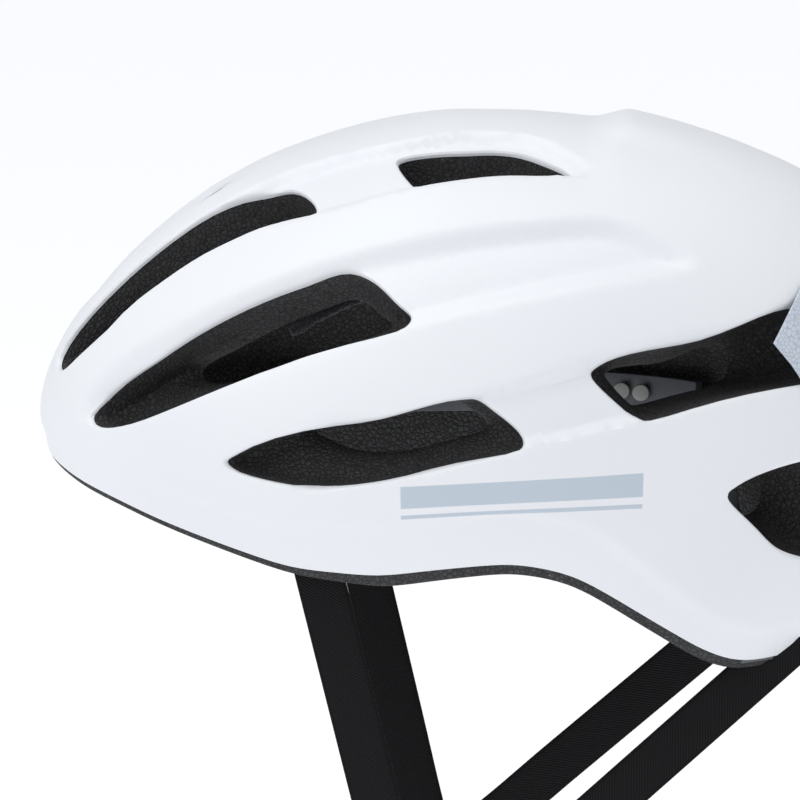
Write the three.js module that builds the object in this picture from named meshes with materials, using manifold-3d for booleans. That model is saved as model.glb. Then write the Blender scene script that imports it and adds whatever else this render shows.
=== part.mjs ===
// Cycling helmet: in-mould shell, foam liner, fit cradle with a turning dial, webbing and buckle.
//
// Frame: millimetres, +Z up, the wearer looks along -Y and the wearer's left is +X.
// The origin is the middle of the head at the height of the front rim.
//
// The dome is described by rays from the origin. A ray is named by its heading (0 at the
// forehead, 90 at the wearer's left, 180 at the back) and its tilt from the crown (0 at the
// crown, 90 level). Unrolled on a flat sheet the same ray is [across, back] = tilt times
// [sin heading, -cos heading], and every outline is drawn on that sheet, in degrees.
import * as THREE from 'three';
import { mergeVertices } from 'three/addons/utils/BufferGeometryUtils.js';
import Module from 'manifold-3d';

const wasm = await Module();
wasm.setup();

// ---- Driving dimensions, mm and degrees ----
const CROWN_HEIGHT = 95;          // origin to the top of the shell
const FRONT_REACH = 137.5;        // origin to the forehead end of the shell
const REAR_REACH = 150;           // origin to the tail of the shell
const HALF_WIDTH = 103;           // origin to the side of the shell
const PLAN_POWER = 2.15;          // roundness of the plan, 2 is an ellipse
const FRONT_POWER = 1.68;         // roundness of the forehead slope
const SIDE_POWER = 2.15;          // roundness over the temples
const REAR_POWER = 2.45;          // roundness of the back of the head
const TUCK_DEPTH = 135;           // half depth of the ellipse that tucks in below the widest line
const SHELL_WALL = 1.0;           // polycarbonate skin
const FIT_GAP = 0.3;              // clearance between neighbouring pieces
const HEAD_HALF_WIDTH = 86;       // hollow of the liner
const HEAD_FRONT = 106;
const HEAD_REAR = 106;
const HEAD_TOP = 72;
const HEAD_POWER = 2.2;
const LIP = 2.4;                  // degrees of bare foam below the shell's edge
const HEADING_STEPS = 36;
const TILT_STEPS = 10;

const BAND_RADIUS = 80;           // fit band's circle at the back of the head
const BAND_CENTRE_Y = 15;
const BAND_THICKNESS = 1.4;
const PLATE_HEIGHT = 17;
const PLATE_THICKNESS = 1.6;
const PLATE_Z = -8.5;
const PIVOT_Y = 48;
const PIVOT_Z = -5.5;
const DETENT_Y = 54.5;
const PIN_RADIUS = 2;
const PIN_HEAD_RADIUS = 2.75;

const DIAL_Z = -68;
const DIAL_RADIUS = 16;
const GRIP_LOBES = 14;
const PINION_TEETH = 10;
const PINION_PITCH_RADIUS = 4;
const RACK_TEETH = 9;
const HOUSING_WIDTH = 46;
const HOUSING_HEIGHT = 34;

const WEBBING_WIDTH = 15;
const WEBBING_THICKNESS = 1.4;
const FRONT_ANCHOR = [82, -44.2, -39];   // where the webbing leaves the foam
const REAR_ANCHOR = [57.5, 92.9, -73.5];
const STRAP_MEETING = [72, -13.4, -168]; // where the front and rear webbing run together
const DIVIDER_WIDTH = 25;
const DIVIDER_LENGTH = 24;
const DIVIDER_THICKNESS = 6;
const DIVIDER_TRAVEL = 10;        // how far the divider can be slid down the webbing
const CHIN_Z = -264;
const CHIN_Y = -16;
const BUCKLE_CENTRE = [57, -14.6, -236.2];
const BUCKLE_TILT = 28;           // degrees that the buckle leans in from upright
const BUCKLE_WIDTH = 26;
const BUCKLE_THICKNESS = 8.5;
const SOCKET_LENGTH = 25;
const PAD_GAP = 1.6;              // soft pads stay this far inside the faceted hollow
const PAD_THICKNESS = 5;

// ---- Colours ----
const finish = (color, roughness, metalness = 0) =>
  new THREE.MeshStandardMaterial({ color, roughness, metalness });
const WHITE_SHELL = () => finish(0xf1f4f8, 0.55);
const BLACK_FOAM = () => finish(0x1d1d1f, 0.85);
const BLACK_WEBBING = () => finish(0x17171a, 0.8);
const BLACK_PLASTIC = () => finish(0x1b1c1e, 0.45);
const GREY_PLASTIC = () => finish(0x3d4045, 0.5);
const LIGHT_PLASTIC = () => finish(0xb9bab4, 0.45);
const DARK_PAD = () => finish(0x232428, 0.95);
const BLACK_RUBBER = () => finish(0x202124, 0.9);
const REFLECTIVE = () => finish(0xaeb9c8, 0.35);
const STEEL = () => finish(0x9a9ca0, 0.35, 1);

// ---- The dome ----
const radians = THREE.MathUtils.degToRad;

const sheet = (heading, tilt) => {
  const turn = radians(heading);
  return [tilt * Math.sin(turn), -tilt * Math.cos(turn)];
};

function rayOf(across, back) {
  const tilt = radians(Math.hypot(across, back));
  const heading = Math.atan2(across, -back);
  return new THREE.Vector3(
    Math.sin(tilt) * Math.sin(heading),
    -Math.sin(tilt) * Math.cos(heading),
    Math.cos(tilt),
  );
}

const superSum = (power, ...terms) =>
  terms.reduce((sum, term) => sum + Math.abs(term) ** power, 0) ** (-1 / power);

// Distance from the origin to the plain dome along a ray.
function domeRadius(ray) {
  const level = Math.hypot(ray.x, ray.y) || 1e-9;
  const side = ray.x / level;
  const fore = ray.y / level;
  const reach = fore < 0 ? FRONT_REACH : REAR_REACH;
  const plan = superSum(PLAN_POWER, side / HALF_WIDTH, fore / reach);
  if (ray.z < 0) return superSum(2, level / plan, ray.z / TUCK_DEPTH);
  const endPower = fore < 0 ? FRONT_POWER : REAR_POWER;
  const power = SIDE_POWER + (endPower - SIDE_POWER) * fore * fore;
  return superSum(power, level / plan, ray.z / CROWN_HEIGHT);
}

// Distance from the origin to the hollow for the head: an egg above, straight walls below.
function hollowRadius(ray) {
  const level = Math.hypot(ray.x, ray.y) || 1e-9;
  const length = ray.y < 0 ? HEAD_FRONT : HEAD_REAR;
  const plan = superSum(2, ray.x / level / HEAD_HALF_WIDTH, ray.y / level / length);
  if (ray.z < 0) return plan / level;
  return superSum(HEAD_POWER, level / plan, ray.z / HEAD_TOP);
}

// Tilt of the shell's lower edge at a heading, from front to back.
const EDGE = [
  [0, 94.5], [15, 96], [30, 99], [45, 104], [60, 109.5], [75, 111.5], [100, 109],
  [110, 110.5], [125, 117.5], [135, 121.5], [143, 123], [155, 120], [180, 112.5],
];
function edgeTilt(heading) {
  const turn = Math.abs(((heading + 540) % 360) - 180);
  const next = Math.max(1, EDGE.findIndex(([station]) => station >= turn));
  const [h0, t0] = EDGE[next - 1];
  const [h1, t1] = EDGE[next];
  return t0 + ((t1 - t0) * (turn - h0)) / (h1 - h0);
}

// ---- Outlines of the vents on the wearer's left: [heading, tilt] ----
const FOREHEAD_SLOT = [
  [36, 42.5], [28, 46.5], [20.5, 58], [15, 70], [9.5, 82], [12, 83.5], [16.5, 82],
  [26, 70], [34, 60], [42, 53], [50.5, 47], [49.5, 45.5],
];
const TEMPLE_VENT = [
  [66, 58], [57, 62], [45, 69.5], [35, 78], [25.5, 87.5], [27, 89], [34, 88],
  [45, 83], [60, 75.5], [79.5, 68], [80.5, 66], [77, 63], [71, 59],
];
const LOWER_VENT = [
  [90, 80], [75, 84], [53, 90.5], [51, 92], [53, 93.5], [65, 95.5], [80, 93.5],
  [100.5, 88.5], [101, 87], [96, 82], [93, 80],
];
const CROWN_VENT = [
  [104, 23], [88, 23], [75, 24], [63.5, 26.5], [61.5, 28.5], [75, 37], [77, 37],
  [90, 35], [108, 35], [123, 36.5], [124, 36], [121, 31], [114, 25.5],
];
const REAR_VENT = [
  [131, 73], [114.5, 75], [113, 76.5], [119, 83.5], [121, 84.5], [145, 81.5],
  [152, 80], [153.5, 77], [150, 72],
];
const LOW_REAR_VENT = [
  [144, 92], [134.5, 95], [133, 96.5], [138, 101.5], [142, 104.5], [149, 106],
  [157, 104.5], [159, 100.5], [157.5, 95], [152, 92],
];
const TAIL_VENT = [
  [164, 59], [161, 64], [160, 74], [162, 78], [169, 79], [172.5, 77], [173, 64], [170, 59],
];
const sheetOutline = (points) => points.map(([heading, tilt]) => sheet(heading, tilt));
const mirrored = (outline) => outline.map(([across, back]) => [-across, back]).reverse();

// A slot with round ends on the centre line, drawn straight on the sheet.
function centreSlot(front, rear, halfWidth, arcSteps = 4) {
  const end = (centre, from) =>
    Array.from({ length: arcSteps + 1 }, (_, i) => {
      const turn = from + (Math.PI * i) / arcSteps;
      return [halfWidth * Math.cos(turn), centre + halfWidth * Math.sin(turn)];
    });
  return [...end(rear - halfWidth, 0), ...end(front + halfWidth, Math.PI)];
}

const shellRadius = (across, back) => domeRadius(rayOf(across, back));
const cavityRadius = (across, back) => hollowRadius(rayOf(across, back));

// ---- Solids ----
function meshGeometry(positions, faces) {
  const geometry = new THREE.BufferGeometry();
  geometry.setAttribute('position', new THREE.Float32BufferAttribute(positions, 3));
  geometry.setIndex(faces);
  return geometry;
}

function solidOf(geometry) {
  const bare = geometry.clone();
  bare.deleteAttribute('normal');
  bare.deleteAttribute('uv');
  const merged = mergeVertices(bare, 1e-4);
  return new wasm.Manifold(new wasm.Mesh({
    numProp: 3,
    vertProperties: new Float32Array(merged.attributes.position.array),
    triVerts: new Uint32Array(merged.index.array),
  }));
}

function geometryOf(solid) {
  const mesh = solid.getMesh();
  return meshGeometry(Array.from(mesh.vertProperties), Array.from(mesh.triVerts));
}

const cut = (base, ...tools) =>
  geometryOf(tools.reduce((solid, tool) => solid.subtract(solidOf(tool)), solidOf(base)));
const join = (base, ...others) =>
  geometryOf(others.reduce((solid, other) => solid.add(solidOf(other)), solidOf(base)));

// A closed cap between two radii, from the crown down to the shell's edge and a lip below it.
function domeCap(outerRadius, innerRadius, lip) {
  const rows = TILT_STEPS + (lip > 0 ? 1 : 0);
  const tiltAt = (heading, row) =>
    edgeTilt(heading) * Math.min(1, row / TILT_STEPS) + (row > TILT_STEPS ? lip : 0);
  const positions = [0, 0, outerRadius(0, 0), 0, 0, innerRadius(0, 0)];
  const ring = (layer, row, column) =>
    2 + 2 * ((row - 1) * HEADING_STEPS + (column % HEADING_STEPS)) + layer;
  for (let row = 1; row <= rows; row += 1) {
    for (let column = 0; column < HEADING_STEPS; column += 1) {
      const heading = (360 * column) / HEADING_STEPS;
      const [across, back] = sheet(heading, tiltAt(heading, row));
      for (const radius of [outerRadius, innerRadius]) {
        positions.push(...rayOf(across, back).multiplyScalar(radius(across, back)).toArray());
      }
    }
  }
  const faces = [];
  const quad = (a, b, c, d) => faces.push(a, b, c, a, c, d);
  for (let column = 0; column < HEADING_STEPS; column += 1) {
    const next = column + 1;
    faces.push(0, ring(0, 1, column), ring(0, 1, next));
    faces.push(1, ring(1, 1, next), ring(1, 1, column));
    for (let row = 1; row < rows; row += 1) {
      quad(ring(0, row, column), ring(0, row + 1, column), ring(0, row + 1, next), ring(0, row, next));
      quad(ring(1, row, column), ring(1, row, next), ring(1, row + 1, next), ring(1, row + 1, column));
    }
    quad(ring(0, rows, column), ring(1, rows, column), ring(1, rows, next), ring(0, rows, next));
  }
  return meshGeometry(positions, faces);
}

const PLUG_OVERSHOOT = 18;        // how far a cutting plug stands clear of the faces that it cuts
const VENT_COLLAR = 5;            // depth of the straight part of a vent
const THROAT_SETBACK = 6;         // degrees that the inner end of a vent leans back

// A closed plug through the dome: the same outline down to a depth, then a narrower throat.
function ventPlug(outline, throatScale) {
  const middle = [0, 1].map((k) => outline.reduce((sum, point) => sum + point[k], 0) / outline.length);
  const layers = [
    outline.map(([a, b]) => [a, b, shellRadius(a, b) + PLUG_OVERSHOOT]),
    outline.map(([a, b]) => [a, b, shellRadius(a, b) - VENT_COLLAR]),
    outline.map(([a, b]) => {
      const across = middle[0] + throatScale * (a - middle[0]);
      const back = middle[1] + throatScale * (b - middle[1]) + (1 - throatScale) * THROAT_SETBACK;
      return [across, back, cavityRadius(across, back) - PLUG_OVERSHOOT];
    }),
  ];
  const count = outline.length;
  const positions = layers.flat().flatMap(([a, b, radius]) => rayOf(a, b).multiplyScalar(radius).toArray());
  const lid = THREE.ShapeUtils.triangulateShape(outline.map(([a, b]) => new THREE.Vector2(a, b)), []);
  const faces = [];
  for (let i = 0; i < count; i += 1) {
    const j = (i + 1) % count;
    for (const base of [0, count]) {
      faces.push(base + i, base + j, base + count + j, base + i, base + count + j, base + count + i);
    }
  }
  for (const [a, b, c] of lid) {
    faces.push(a, c, b);
    faces.push(2 * count + a, 2 * count + b, 2 * count + c);
  }
  const plug = meshGeometry(positions, faces);
  if (solidOf(plug).volume() > 0) return plug;
  return meshGeometry(positions, faces.reverse());
}

// A smooth closed outline through the given points.
function smoothOutline(points, count) {
  const knots = points.map(([a, b]) => new THREE.Vector3(a, b, 0));
  const curve = new THREE.CatmullRomCurve3(knots, true, 'centripetal');
  return curve.getPoints(count).slice(0, count).map(({ x, y }) => [x, y]);
}

// A slab that follows the dome between two radii, over a rectangle of the sheet.
function domeSlab({ middle, halfAcross, halfBack, inner, outer, columns = 4, rows = 4 }) {
  const slab = new THREE.BoxGeometry(2, 2, 1, columns, rows, 1);
  const place = slab.attributes.position;
  for (let i = 0; i < place.count; i += 1) {
    const across = middle[0] + halfAcross * place.getX(i);
    const back = middle[1] + halfBack * place.getY(i);
    const radius = place.getZ(i) > 0 ? outer(across, back) : inner(across, back);
    place.setXYZ(i, ...rayOf(across, back).multiplyScalar(radius).toArray());
  }
  return slab;
}

// A strip bent round the upright axis of the fit band. Stations are [angle from the back, low z, high z].
function bandStrip(stations, innerRadius, outerRadius) {
  const corners = (radius, z, angle) => [
    radius * Math.sin(radians(angle)), BAND_CENTRE_Y + radius * Math.cos(radians(angle)), z,
  ];
  const positions = stations.flatMap(([angle, low, high]) => [
    ...corners(innerRadius, low, angle), ...corners(outerRadius, low, angle),
    ...corners(outerRadius, high, angle), ...corners(innerRadius, high, angle),
  ]);
  return strip(positions, stations.length);
}

// A closed bar through sections of four corners each.
function strip(positions, sections) {
  const faces = [];
  for (let s = 0; s + 1 < sections; s += 1) {
    for (let k = 0; k < 4; k += 1) {
      const a = 4 * s + k;
      const b = 4 * s + ((k + 1) % 4);
      faces.push(a, b, b + 4, a, b + 4, a + 4);
    }
  }
  const last = 4 * (sections - 1);
  faces.push(0, 2, 1, 0, 3, 2);
  faces.push(last, last + 1, last + 2, last, last + 2, last + 3);
  const bar = meshGeometry(positions, faces);
  if (solidOf(bar).volume() > 0) return bar;
  return meshGeometry(positions, faces.reverse());
}

// Flat webbing along a path; its face looks along the given normals.
function webbing(path, normals, width = WEBBING_WIDTH, thickness = WEBBING_THICKNESS) {
  const points = path.map((p) => new THREE.Vector3(...p));
  const positions = points.flatMap((point, i) => {
    const before = points[Math.max(0, i - 1)];
    const after = points[Math.min(points.length - 1, i + 1)];
    const along = after.clone().sub(before).normalize();
    const face = new THREE.Vector3(...(normals[i] || normals[0]));
    const wide = along.clone().cross(face).normalize();
    face.copy(wide).cross(along).normalize();
    const corner = (w, t) => point.clone()
      .addScaledVector(wide, (w * width) / 2).addScaledVector(face, (t * thickness) / 2).toArray();
    return [...corner(-1, -1), ...corner(1, -1), ...corner(1, 1), ...corner(-1, 1)];
  });
  return strip(positions, points.length);
}

function roundedPlate(width, height, thickness, corner) {
  const x = width / 2;
  const y = height / 2;
  const shape = new THREE.Shape();
  shape.moveTo(corner - x, -y);
  shape.lineTo(x - corner, -y);
  shape.quadraticCurveTo(x, -y, x, corner - y);
  shape.lineTo(x, y - corner);
  shape.quadraticCurveTo(x, y, x - corner, y);
  shape.lineTo(corner - x, y);
  shape.quadraticCurveTo(-x, y, -x, y - corner);
  shape.lineTo(-x, corner - y);
  shape.quadraticCurveTo(-x, -y, corner - x, -y);
  return new THREE.ExtrudeGeometry(shape, { depth: thickness, bevelEnabled: false, curveSegments: 3 });
}

const box = (x0, x1, y0, y1, z0, z1) =>
  new THREE.BoxGeometry(x1 - x0, y1 - y0, z1 - z0)
    .translate((x0 + x1) / 2, (y0 + y1) / 2, (z0 + z1) / 2);
const rod = (radius, from, to, sides = 16) =>
  new THREE.CylinderGeometry(radius, radius, to - from, sides)
    .rotateX(Math.PI / 2).translate(0, 0, (from + to) / 2);

// A wheel outline whose radius swings between two values, extruded along +Z.
function lobedDisc(low, high, lobes, from, to, pointsPerLobe = 4) {
  const shape = new THREE.Shape();
  const count = lobes * pointsPerLobe;
  for (let i = 0; i < count; i += 1) {
    const turn = (2 * Math.PI * i) / count;
    const radius = i % pointsPerLobe < pointsPerLobe / 2 ? high : low;
    const [x, y] = [radius * Math.cos(turn), radius * Math.sin(turn)];
    if (i === 0) shape.moveTo(x, y);
    else shape.lineTo(x, y);
  }
  return new THREE.ExtrudeGeometry(shape, { depth: to - from, bevelEnabled: false })
    .translate(0, 0, from);
}

// ---- The assembly ----
const helmet = new THREE.Group();
const put = (name, geometry, material, parent = helmet) => {
  const mesh = new THREE.Mesh(geometry, material);
  mesh.name = name;
  parent.add(mesh);
  return mesh;
};
const SIDES = [['left', 1], ['right', -1]];
const putPair = (stem, geometry, material, parent = helmet) => {
  for (const [side, sign] of SIDES) put(`${stem}_${side}`, geometry, material(), parent).scale.x = sign;
};

// Vents: those on the wearer's left are mirrored to the right, and one lies on the centre line.
const PAIRED_VENTS = [
  [FOREHEAD_SLOT, 0.8], [TEMPLE_VENT, 0.72], [LOWER_VENT, 0.7], [CROWN_VENT, 0.8],
  [REAR_VENT, 0.7], [LOW_REAR_VENT, 0.7], [TAIL_VENT, 0.8],
];
const CENTRE_VENT = centreSlot(-70, -47, 5);
const VENT_POINTS = 12;
const ventPlugs = [
  ...PAIRED_VENTS.flatMap(([points, throat]) => {
    const outline = smoothOutline(sheetOutline(points), VENT_POINTS);
    return [ventPlug(outline, throat), ventPlug(mirrored(outline), throat)];
  }),
  ventPlug(CENTRE_VENT, 0.8),
];

const shellInside = (across, back) => shellRadius(across, back) - SHELL_WALL;
const linerOutside = (across, back) => shellInside(across, back) - FIT_GAP;

const ANCHOR_WIDTH = 19;
const ANCHOR_DEPTH = 5;
const ANCHOR_HEIGHT = 8;
const ANCHOR_RECESS = 3;          // the block sits this far up inside its pocket
const POCKET_DROP = 30;           // the pocket is cut from this far below, clear of the foam's lip
const ANCHORS = [['front', FRONT_ANCHOR, 0], ['rear', REAR_ANCHOR, 38]];

// A block for the webbing's end, sunk in the foam above the point where the webbing leaves.
function anchorBlock(place, turn, grow, extraDown) {
  const half = [ANCHOR_DEPTH / 2 + grow, ANCHOR_WIDTH / 2 + grow];
  return box(-half[0], half[0], -half[1], half[1], ANCHOR_RECESS - extraDown, ANCHOR_HEIGHT + grow)
    .rotateZ(radians(turn)).translate(...place);
}
const anchorPockets = ANCHORS.flatMap(([, place, turn]) => {
  const [x, y, z] = place;
  return [
    anchorBlock(place, turn, FIT_GAP, POCKET_DROP),
    anchorBlock([-x, y, z], -turn, FIT_GAP, POCKET_DROP),
  ];
});

const PIN_GRIP = 4.2;             // how far the pivot pin runs into the foam
const POCKET_LEAD = 15;           // the pin's pocket is cut from this far inside the hollow
const pinWallX = HEAD_HALF_WIDTH * Math.sqrt(1 - (PIVOT_Y / HEAD_REAR) ** 2);
const pinTip = pinWallX + PIN_GRIP;
const alongX = (geometry, y, z) => geometry.rotateY(Math.PI / 2).translate(0, y, z);
const pinPocket = (sign) => {
  const ends = [sign * (pinWallX - POCKET_LEAD), sign * (pinTip + FIT_GAP)].sort((a, b) => a - b);
  return alongX(rod(PIN_RADIUS + FIT_GAP, ...ends, 12), PIVOT_Y, PIVOT_Z);
};

put('outer_shell', cut(domeCap(shellRadius, shellInside, 0), ...ventPlugs), WHITE_SHELL());
put('eps_liner', cut(domeCap(linerOutside, cavityRadius, LIP), ...ventPlugs, ...anchorPockets,
  pinPocket(1), pinPocket(-1)), BLACK_FOAM());

// Reflective panel that bridges the back end of the rear vent, on the face of the shell.
const REFLECTOR_MIDDLE = sheet(147, 77);
const REFLECTOR_LIFT = 0.7;
const REFLECTOR_THICKNESS = 0.8;
putPair('rear_reflector', domeSlab({
  middle: REFLECTOR_MIDDLE, halfAcross: 6, halfBack: 6.5, columns: 3, rows: 3,
  inner: (a, b) => shellRadius(a, b) + REFLECTOR_LIFT,
  outer: (a, b) => shellRadius(a, b) + REFLECTOR_LIFT + REFLECTOR_THICKNESS,
}), REFLECTIVE);

for (const [end, place, turn] of ANCHORS) {
  putPair(`strap_anchor_${end}`, anchorBlock(place, turn, 0, 0), GREY_PLASTIC);
}

// ---- Soft pads inside the hollow ----
const padOuter = (a, b) => cavityRadius(a, b) - PAD_GAP;
const padInner = (a, b) => padOuter(a, b) - PAD_THICKNESS;
const pad = (middle, halfAcross, halfBack, columns = 4, rows = 4) =>
  domeSlab({ middle, halfAcross, halfBack, inner: padInner, outer: padOuter, columns, rows });
put('crown_pad', pad([0, 5], 8, 30, 2, 6), DARK_PAD());
putPair('side_pad_front', pad([44, -32], 9, 14), DARK_PAD);
putPair('side_pad_rear', pad([50, 20], 9, 13), DARK_PAD);

// ---- Fit band: fixed front half with the brow pad ----
const BAND_INSET = 6;
const FRONT_BAND_HEIGHT = 12;
const FRONT_BAND_END = 111;
function frontBandPath(inset, endTurn, steps) {
  const path = [];
  for (let i = 0; i <= steps; i += 1) {
    const turn = radians(-endTurn + (2 * endTurn * i) / steps);
    path.push([
      (HEAD_HALF_WIDTH - inset) * Math.sin(turn), -(HEAD_FRONT - inset) * Math.cos(turn), PLATE_Z,
    ]);
  }
  return path;
}
const planNormals = (path) => path.map(([x, y]) => [x / HEAD_HALF_WIDTH ** 2, y / HEAD_FRONT ** 2, 0]);
const frontBand = frontBandPath(BAND_INSET, FRONT_BAND_END, 24);
put('headband_front', webbing(frontBand, planNormals(frontBand), FRONT_BAND_HEIGHT, BAND_THICKNESS),
  GREY_PLASTIC());
const BROW_PAD_THICKNESS = 5;
const browPath = frontBandPath(BAND_INSET + BAND_THICKNESS / 2 + PAD_GAP + BROW_PAD_THICKNESS / 2, 58, 12);
put('brow_pad', webbing(browPath, planNormals(browPath), 20, BROW_PAD_THICKNESS), DARK_PAD());

// ---- Cradle: side plates on pivot pins, sliding arms, dial unit and nape yoke ----
const PLATE_FRONT = 70;
const PLATE_REAR = 42;
const ARM_LEVEL = 40;             // the arm runs level in its channel from its front end to here
const RACK_LEVEL = 16;            // and level again behind the head from here on
const ARM_HEIGHT = 9;
const RACK_HEIGHT = 5;
const armInner = BAND_RADIUS - BAND_THICKNESS / 2;
const armOuter = BAND_RADIUS + BAND_THICKNESS / 2;
const plateOuter = armInner - FIT_GAP;
const plateInner = plateOuter - PLATE_THICKNESS;
const BUTTON_CLEARANCE = 1.7;     // between the detent button and the arm's front end
const armFront = THREE.MathUtils.radToDeg(
  Math.acos((DETENT_Y + PIN_RADIUS + BUTTON_CLEARANCE - BAND_CENTRE_Y) / armInner));
const between = (from, to, steps) =>
  Array.from({ length: steps + 1 }, (_, i) => from + ((to - from) * i) / steps);

const HOLE_OVERSHOOT = 10;        // how far a cutting rod runs past both faces of the plate
const plateFaceX = (y, radius) => Math.sqrt(radius ** 2 - (y - BAND_CENTRE_Y) ** 2);
function sidePlate() {
  const half = PLATE_HEIGHT / 2;
  const lipGap = ARM_HEIGHT / 2 + FIT_GAP;
  const angles = between(PLATE_REAR, PLATE_FRONT, 7);
  const level = (low, high) => angles.map((angle) => [angle, PLATE_Z + low, PLATE_Z + high]);
  const face = bandStrip(level(-half, half), plateInner, plateOuter);
  const topLip = bandStrip(level(lipGap, half), plateOuter - 0.4, armOuter);
  const bottomLip = bandStrip(level(-half, -lipGap), plateOuter - 0.4, armOuter);
  const hole = (y) => alongX(rod(PIN_RADIUS + FIT_GAP, plateFaceX(y, plateInner) - HOLE_OVERSHOOT,
    plateFaceX(y, armOuter) + HOLE_OVERSHOOT, 12), y, PIVOT_Z);
  return cut(join(face, topLip, bottomLip), hole(PIVOT_Y), hole(DETENT_Y));
}
putPair('side_plate', sidePlate(), GREY_PLASTIC);

function headedPin(y, tipX) {
  const seat = plateFaceX(y + PIN_HEAD_RADIUS, plateInner) - FIT_GAP;
  const head = rod(PIN_HEAD_RADIUS, seat - 1.4, seat, 20);
  const shank = rod(PIN_RADIUS, seat - 0.5, tipX, 16);
  return alongX(join(head, shank), y, PIVOT_Z);
}
putPair('pivot_pin', headedPin(PIVOT_Y, pinTip), LIGHT_PLASTIC);
putPair('detent_button', headedPin(DETENT_Y, plateFaceX(DETENT_Y, plateOuter) + 2.2), LIGHT_PLASTIC);

// One arm: level in the plate's channel, down to the nape, and a toothed rack across the pinion.
function fitArm(rackSide) {
  const toothPitch = 360 / PINION_TEETH * (PINION_PITCH_RADIUS / BAND_RADIUS);
  const toothTip = PINION_PITCH_RADIUS - 0.5;
  const toothRoot = PINION_PITCH_RADIUS + 0.9;
  const toRack = (near, far) => (rackSide > 0
    ? [DIAL_Z + near, DIAL_Z + far]
    : [DIAL_Z - far, DIAL_Z - near]);
  const far = toothRoot + RACK_HEIGHT;
  const stations = [];
  const firstTooth = -toothPitch * 3;
  stations.push([firstTooth - toothPitch * 0.6, ...toRack(toothRoot, far)]);
  for (let tooth = 0; tooth < RACK_TEETH; tooth += 1) {
    const middle = firstTooth + tooth * toothPitch;
    stations.push([middle - toothPitch * 0.3, ...toRack(toothRoot, far)]);
    stations.push([middle - toothPitch * 0.12, ...toRack(toothTip, far)]);
    stations.push([middle + toothPitch * 0.12, ...toRack(toothTip, far)]);
    stations.push([middle + toothPitch * 0.3, ...toRack(toothRoot, far)]);
  }
  stations.push([RACK_LEVEL, ...toRack(toothRoot, far)]);
  const [rackLow, rackHigh] = toRack(toothRoot, far);
  for (const angle of between(RACK_LEVEL, ARM_LEVEL, 8).slice(1)) {
    const share = THREE.MathUtils.smoothstep(angle, RACK_LEVEL, ARM_LEVEL);
    const middle = (rackLow + rackHigh) / 2 * (1 - share) + PLATE_Z * share;
    const half = RACK_HEIGHT / 2 * (1 - share) + ARM_HEIGHT / 2 * share + 5 * Math.sin(Math.PI * share);
    stations.push([angle, middle - half, middle + half]);
  }
  for (const angle of between(ARM_LEVEL, armFront, 4).slice(1)) {
    stations.push([angle, PLATE_Z - ARM_HEIGHT / 2, PLATE_Z + ARM_HEIGHT / 2]);
  }
  return bandStrip(stations, armInner, armOuter);
}
put('fit_arm_left', fitArm(1), GREY_PLASTIC());
put('fit_arm_right', fitArm(-1), GREY_PLASTIC()).scale.x = -1;

// Dial unit in its own frame: local +Z points backwards and local +Y points down.
const dial = new THREE.Group();
dial.position.set(0, BAND_CENTRE_Y + BAND_RADIUS, DIAL_Z);
dial.rotation.x = -Math.PI / 2;
helmet.add(dial);

const SAGITTA = BAND_RADIUS - Math.sqrt(BAND_RADIUS ** 2 - (HOUSING_WIDTH / 2) ** 2);
const HOUSING_FACE = -BAND_THICKNESS / 2 - SAGITTA - FIT_GAP;
const HOUSING_WALL = 2.4;
const COVER_FACE = BAND_THICKNESS / 2 + 1.1;
const COVER_WALL = 2.4;
const SHAFT_RADIUS = 2.6;
const SCREW_RADIUS = 0.9;
const BRIDGE_HALF_WIDTH = 9;
const KNOB_FROM = COVER_FACE + COVER_WALL + FIT_GAP;
const KNOB_TO = KNOB_FROM + 7;
const KNOB_RADIUS = DIAL_RADIUS - 2.6;

const housingPlate = roundedPlate(HOUSING_WIDTH, HOUSING_HEIGHT, HOUSING_WALL, 9)
  .translate(0, 0, HOUSING_FACE - HOUSING_WALL);
put('dial_housing', join(housingPlate, rod(PINION_PITCH_RADIUS - 1.2, HOUSING_FACE - 0.5, -2.2)),
  BLACK_PLASTIC(), dial);

const coverPlate = roundedPlate(HOUSING_WIDTH - 2, HOUSING_HEIGHT - 2, COVER_WALL, 8)
  .translate(0, 0, COVER_FACE);
const bridge = (side) => {
  const near = side * (HOUSING_HEIGHT / 2 - 4.2);
  const far = side * (HOUSING_HEIGHT / 2 - 1.8);
  return box(-BRIDGE_HALF_WIDTH, BRIDGE_HALF_WIDTH, Math.min(near, far), Math.max(near, far),
    HOUSING_FACE + FIT_GAP, COVER_FACE + 0.5);
};
put('housing_cover', cut(join(coverPlate, bridge(1), bridge(-1)),
  rod(SHAFT_RADIUS + FIT_GAP, COVER_FACE - 1, KNOB_FROM + 1)), BLACK_PLASTIC(), dial);

const pinionWheel = lobedDisc(PINION_PITCH_RADIUS - 1, PINION_PITCH_RADIUS + 0.5, PINION_TEETH, -1.6, 1.4);
const shaft = rod(SHAFT_RADIUS, 1, KNOB_TO - 2.4);
put('drive_pinion', cut(join(pinionWheel.rotateZ(-Math.PI / PINION_TEETH / 4), shaft),
  rod(SCREW_RADIUS + FIT_GAP, 0.6, KNOB_TO)), LIGHT_PLASTIC(), dial);

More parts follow.
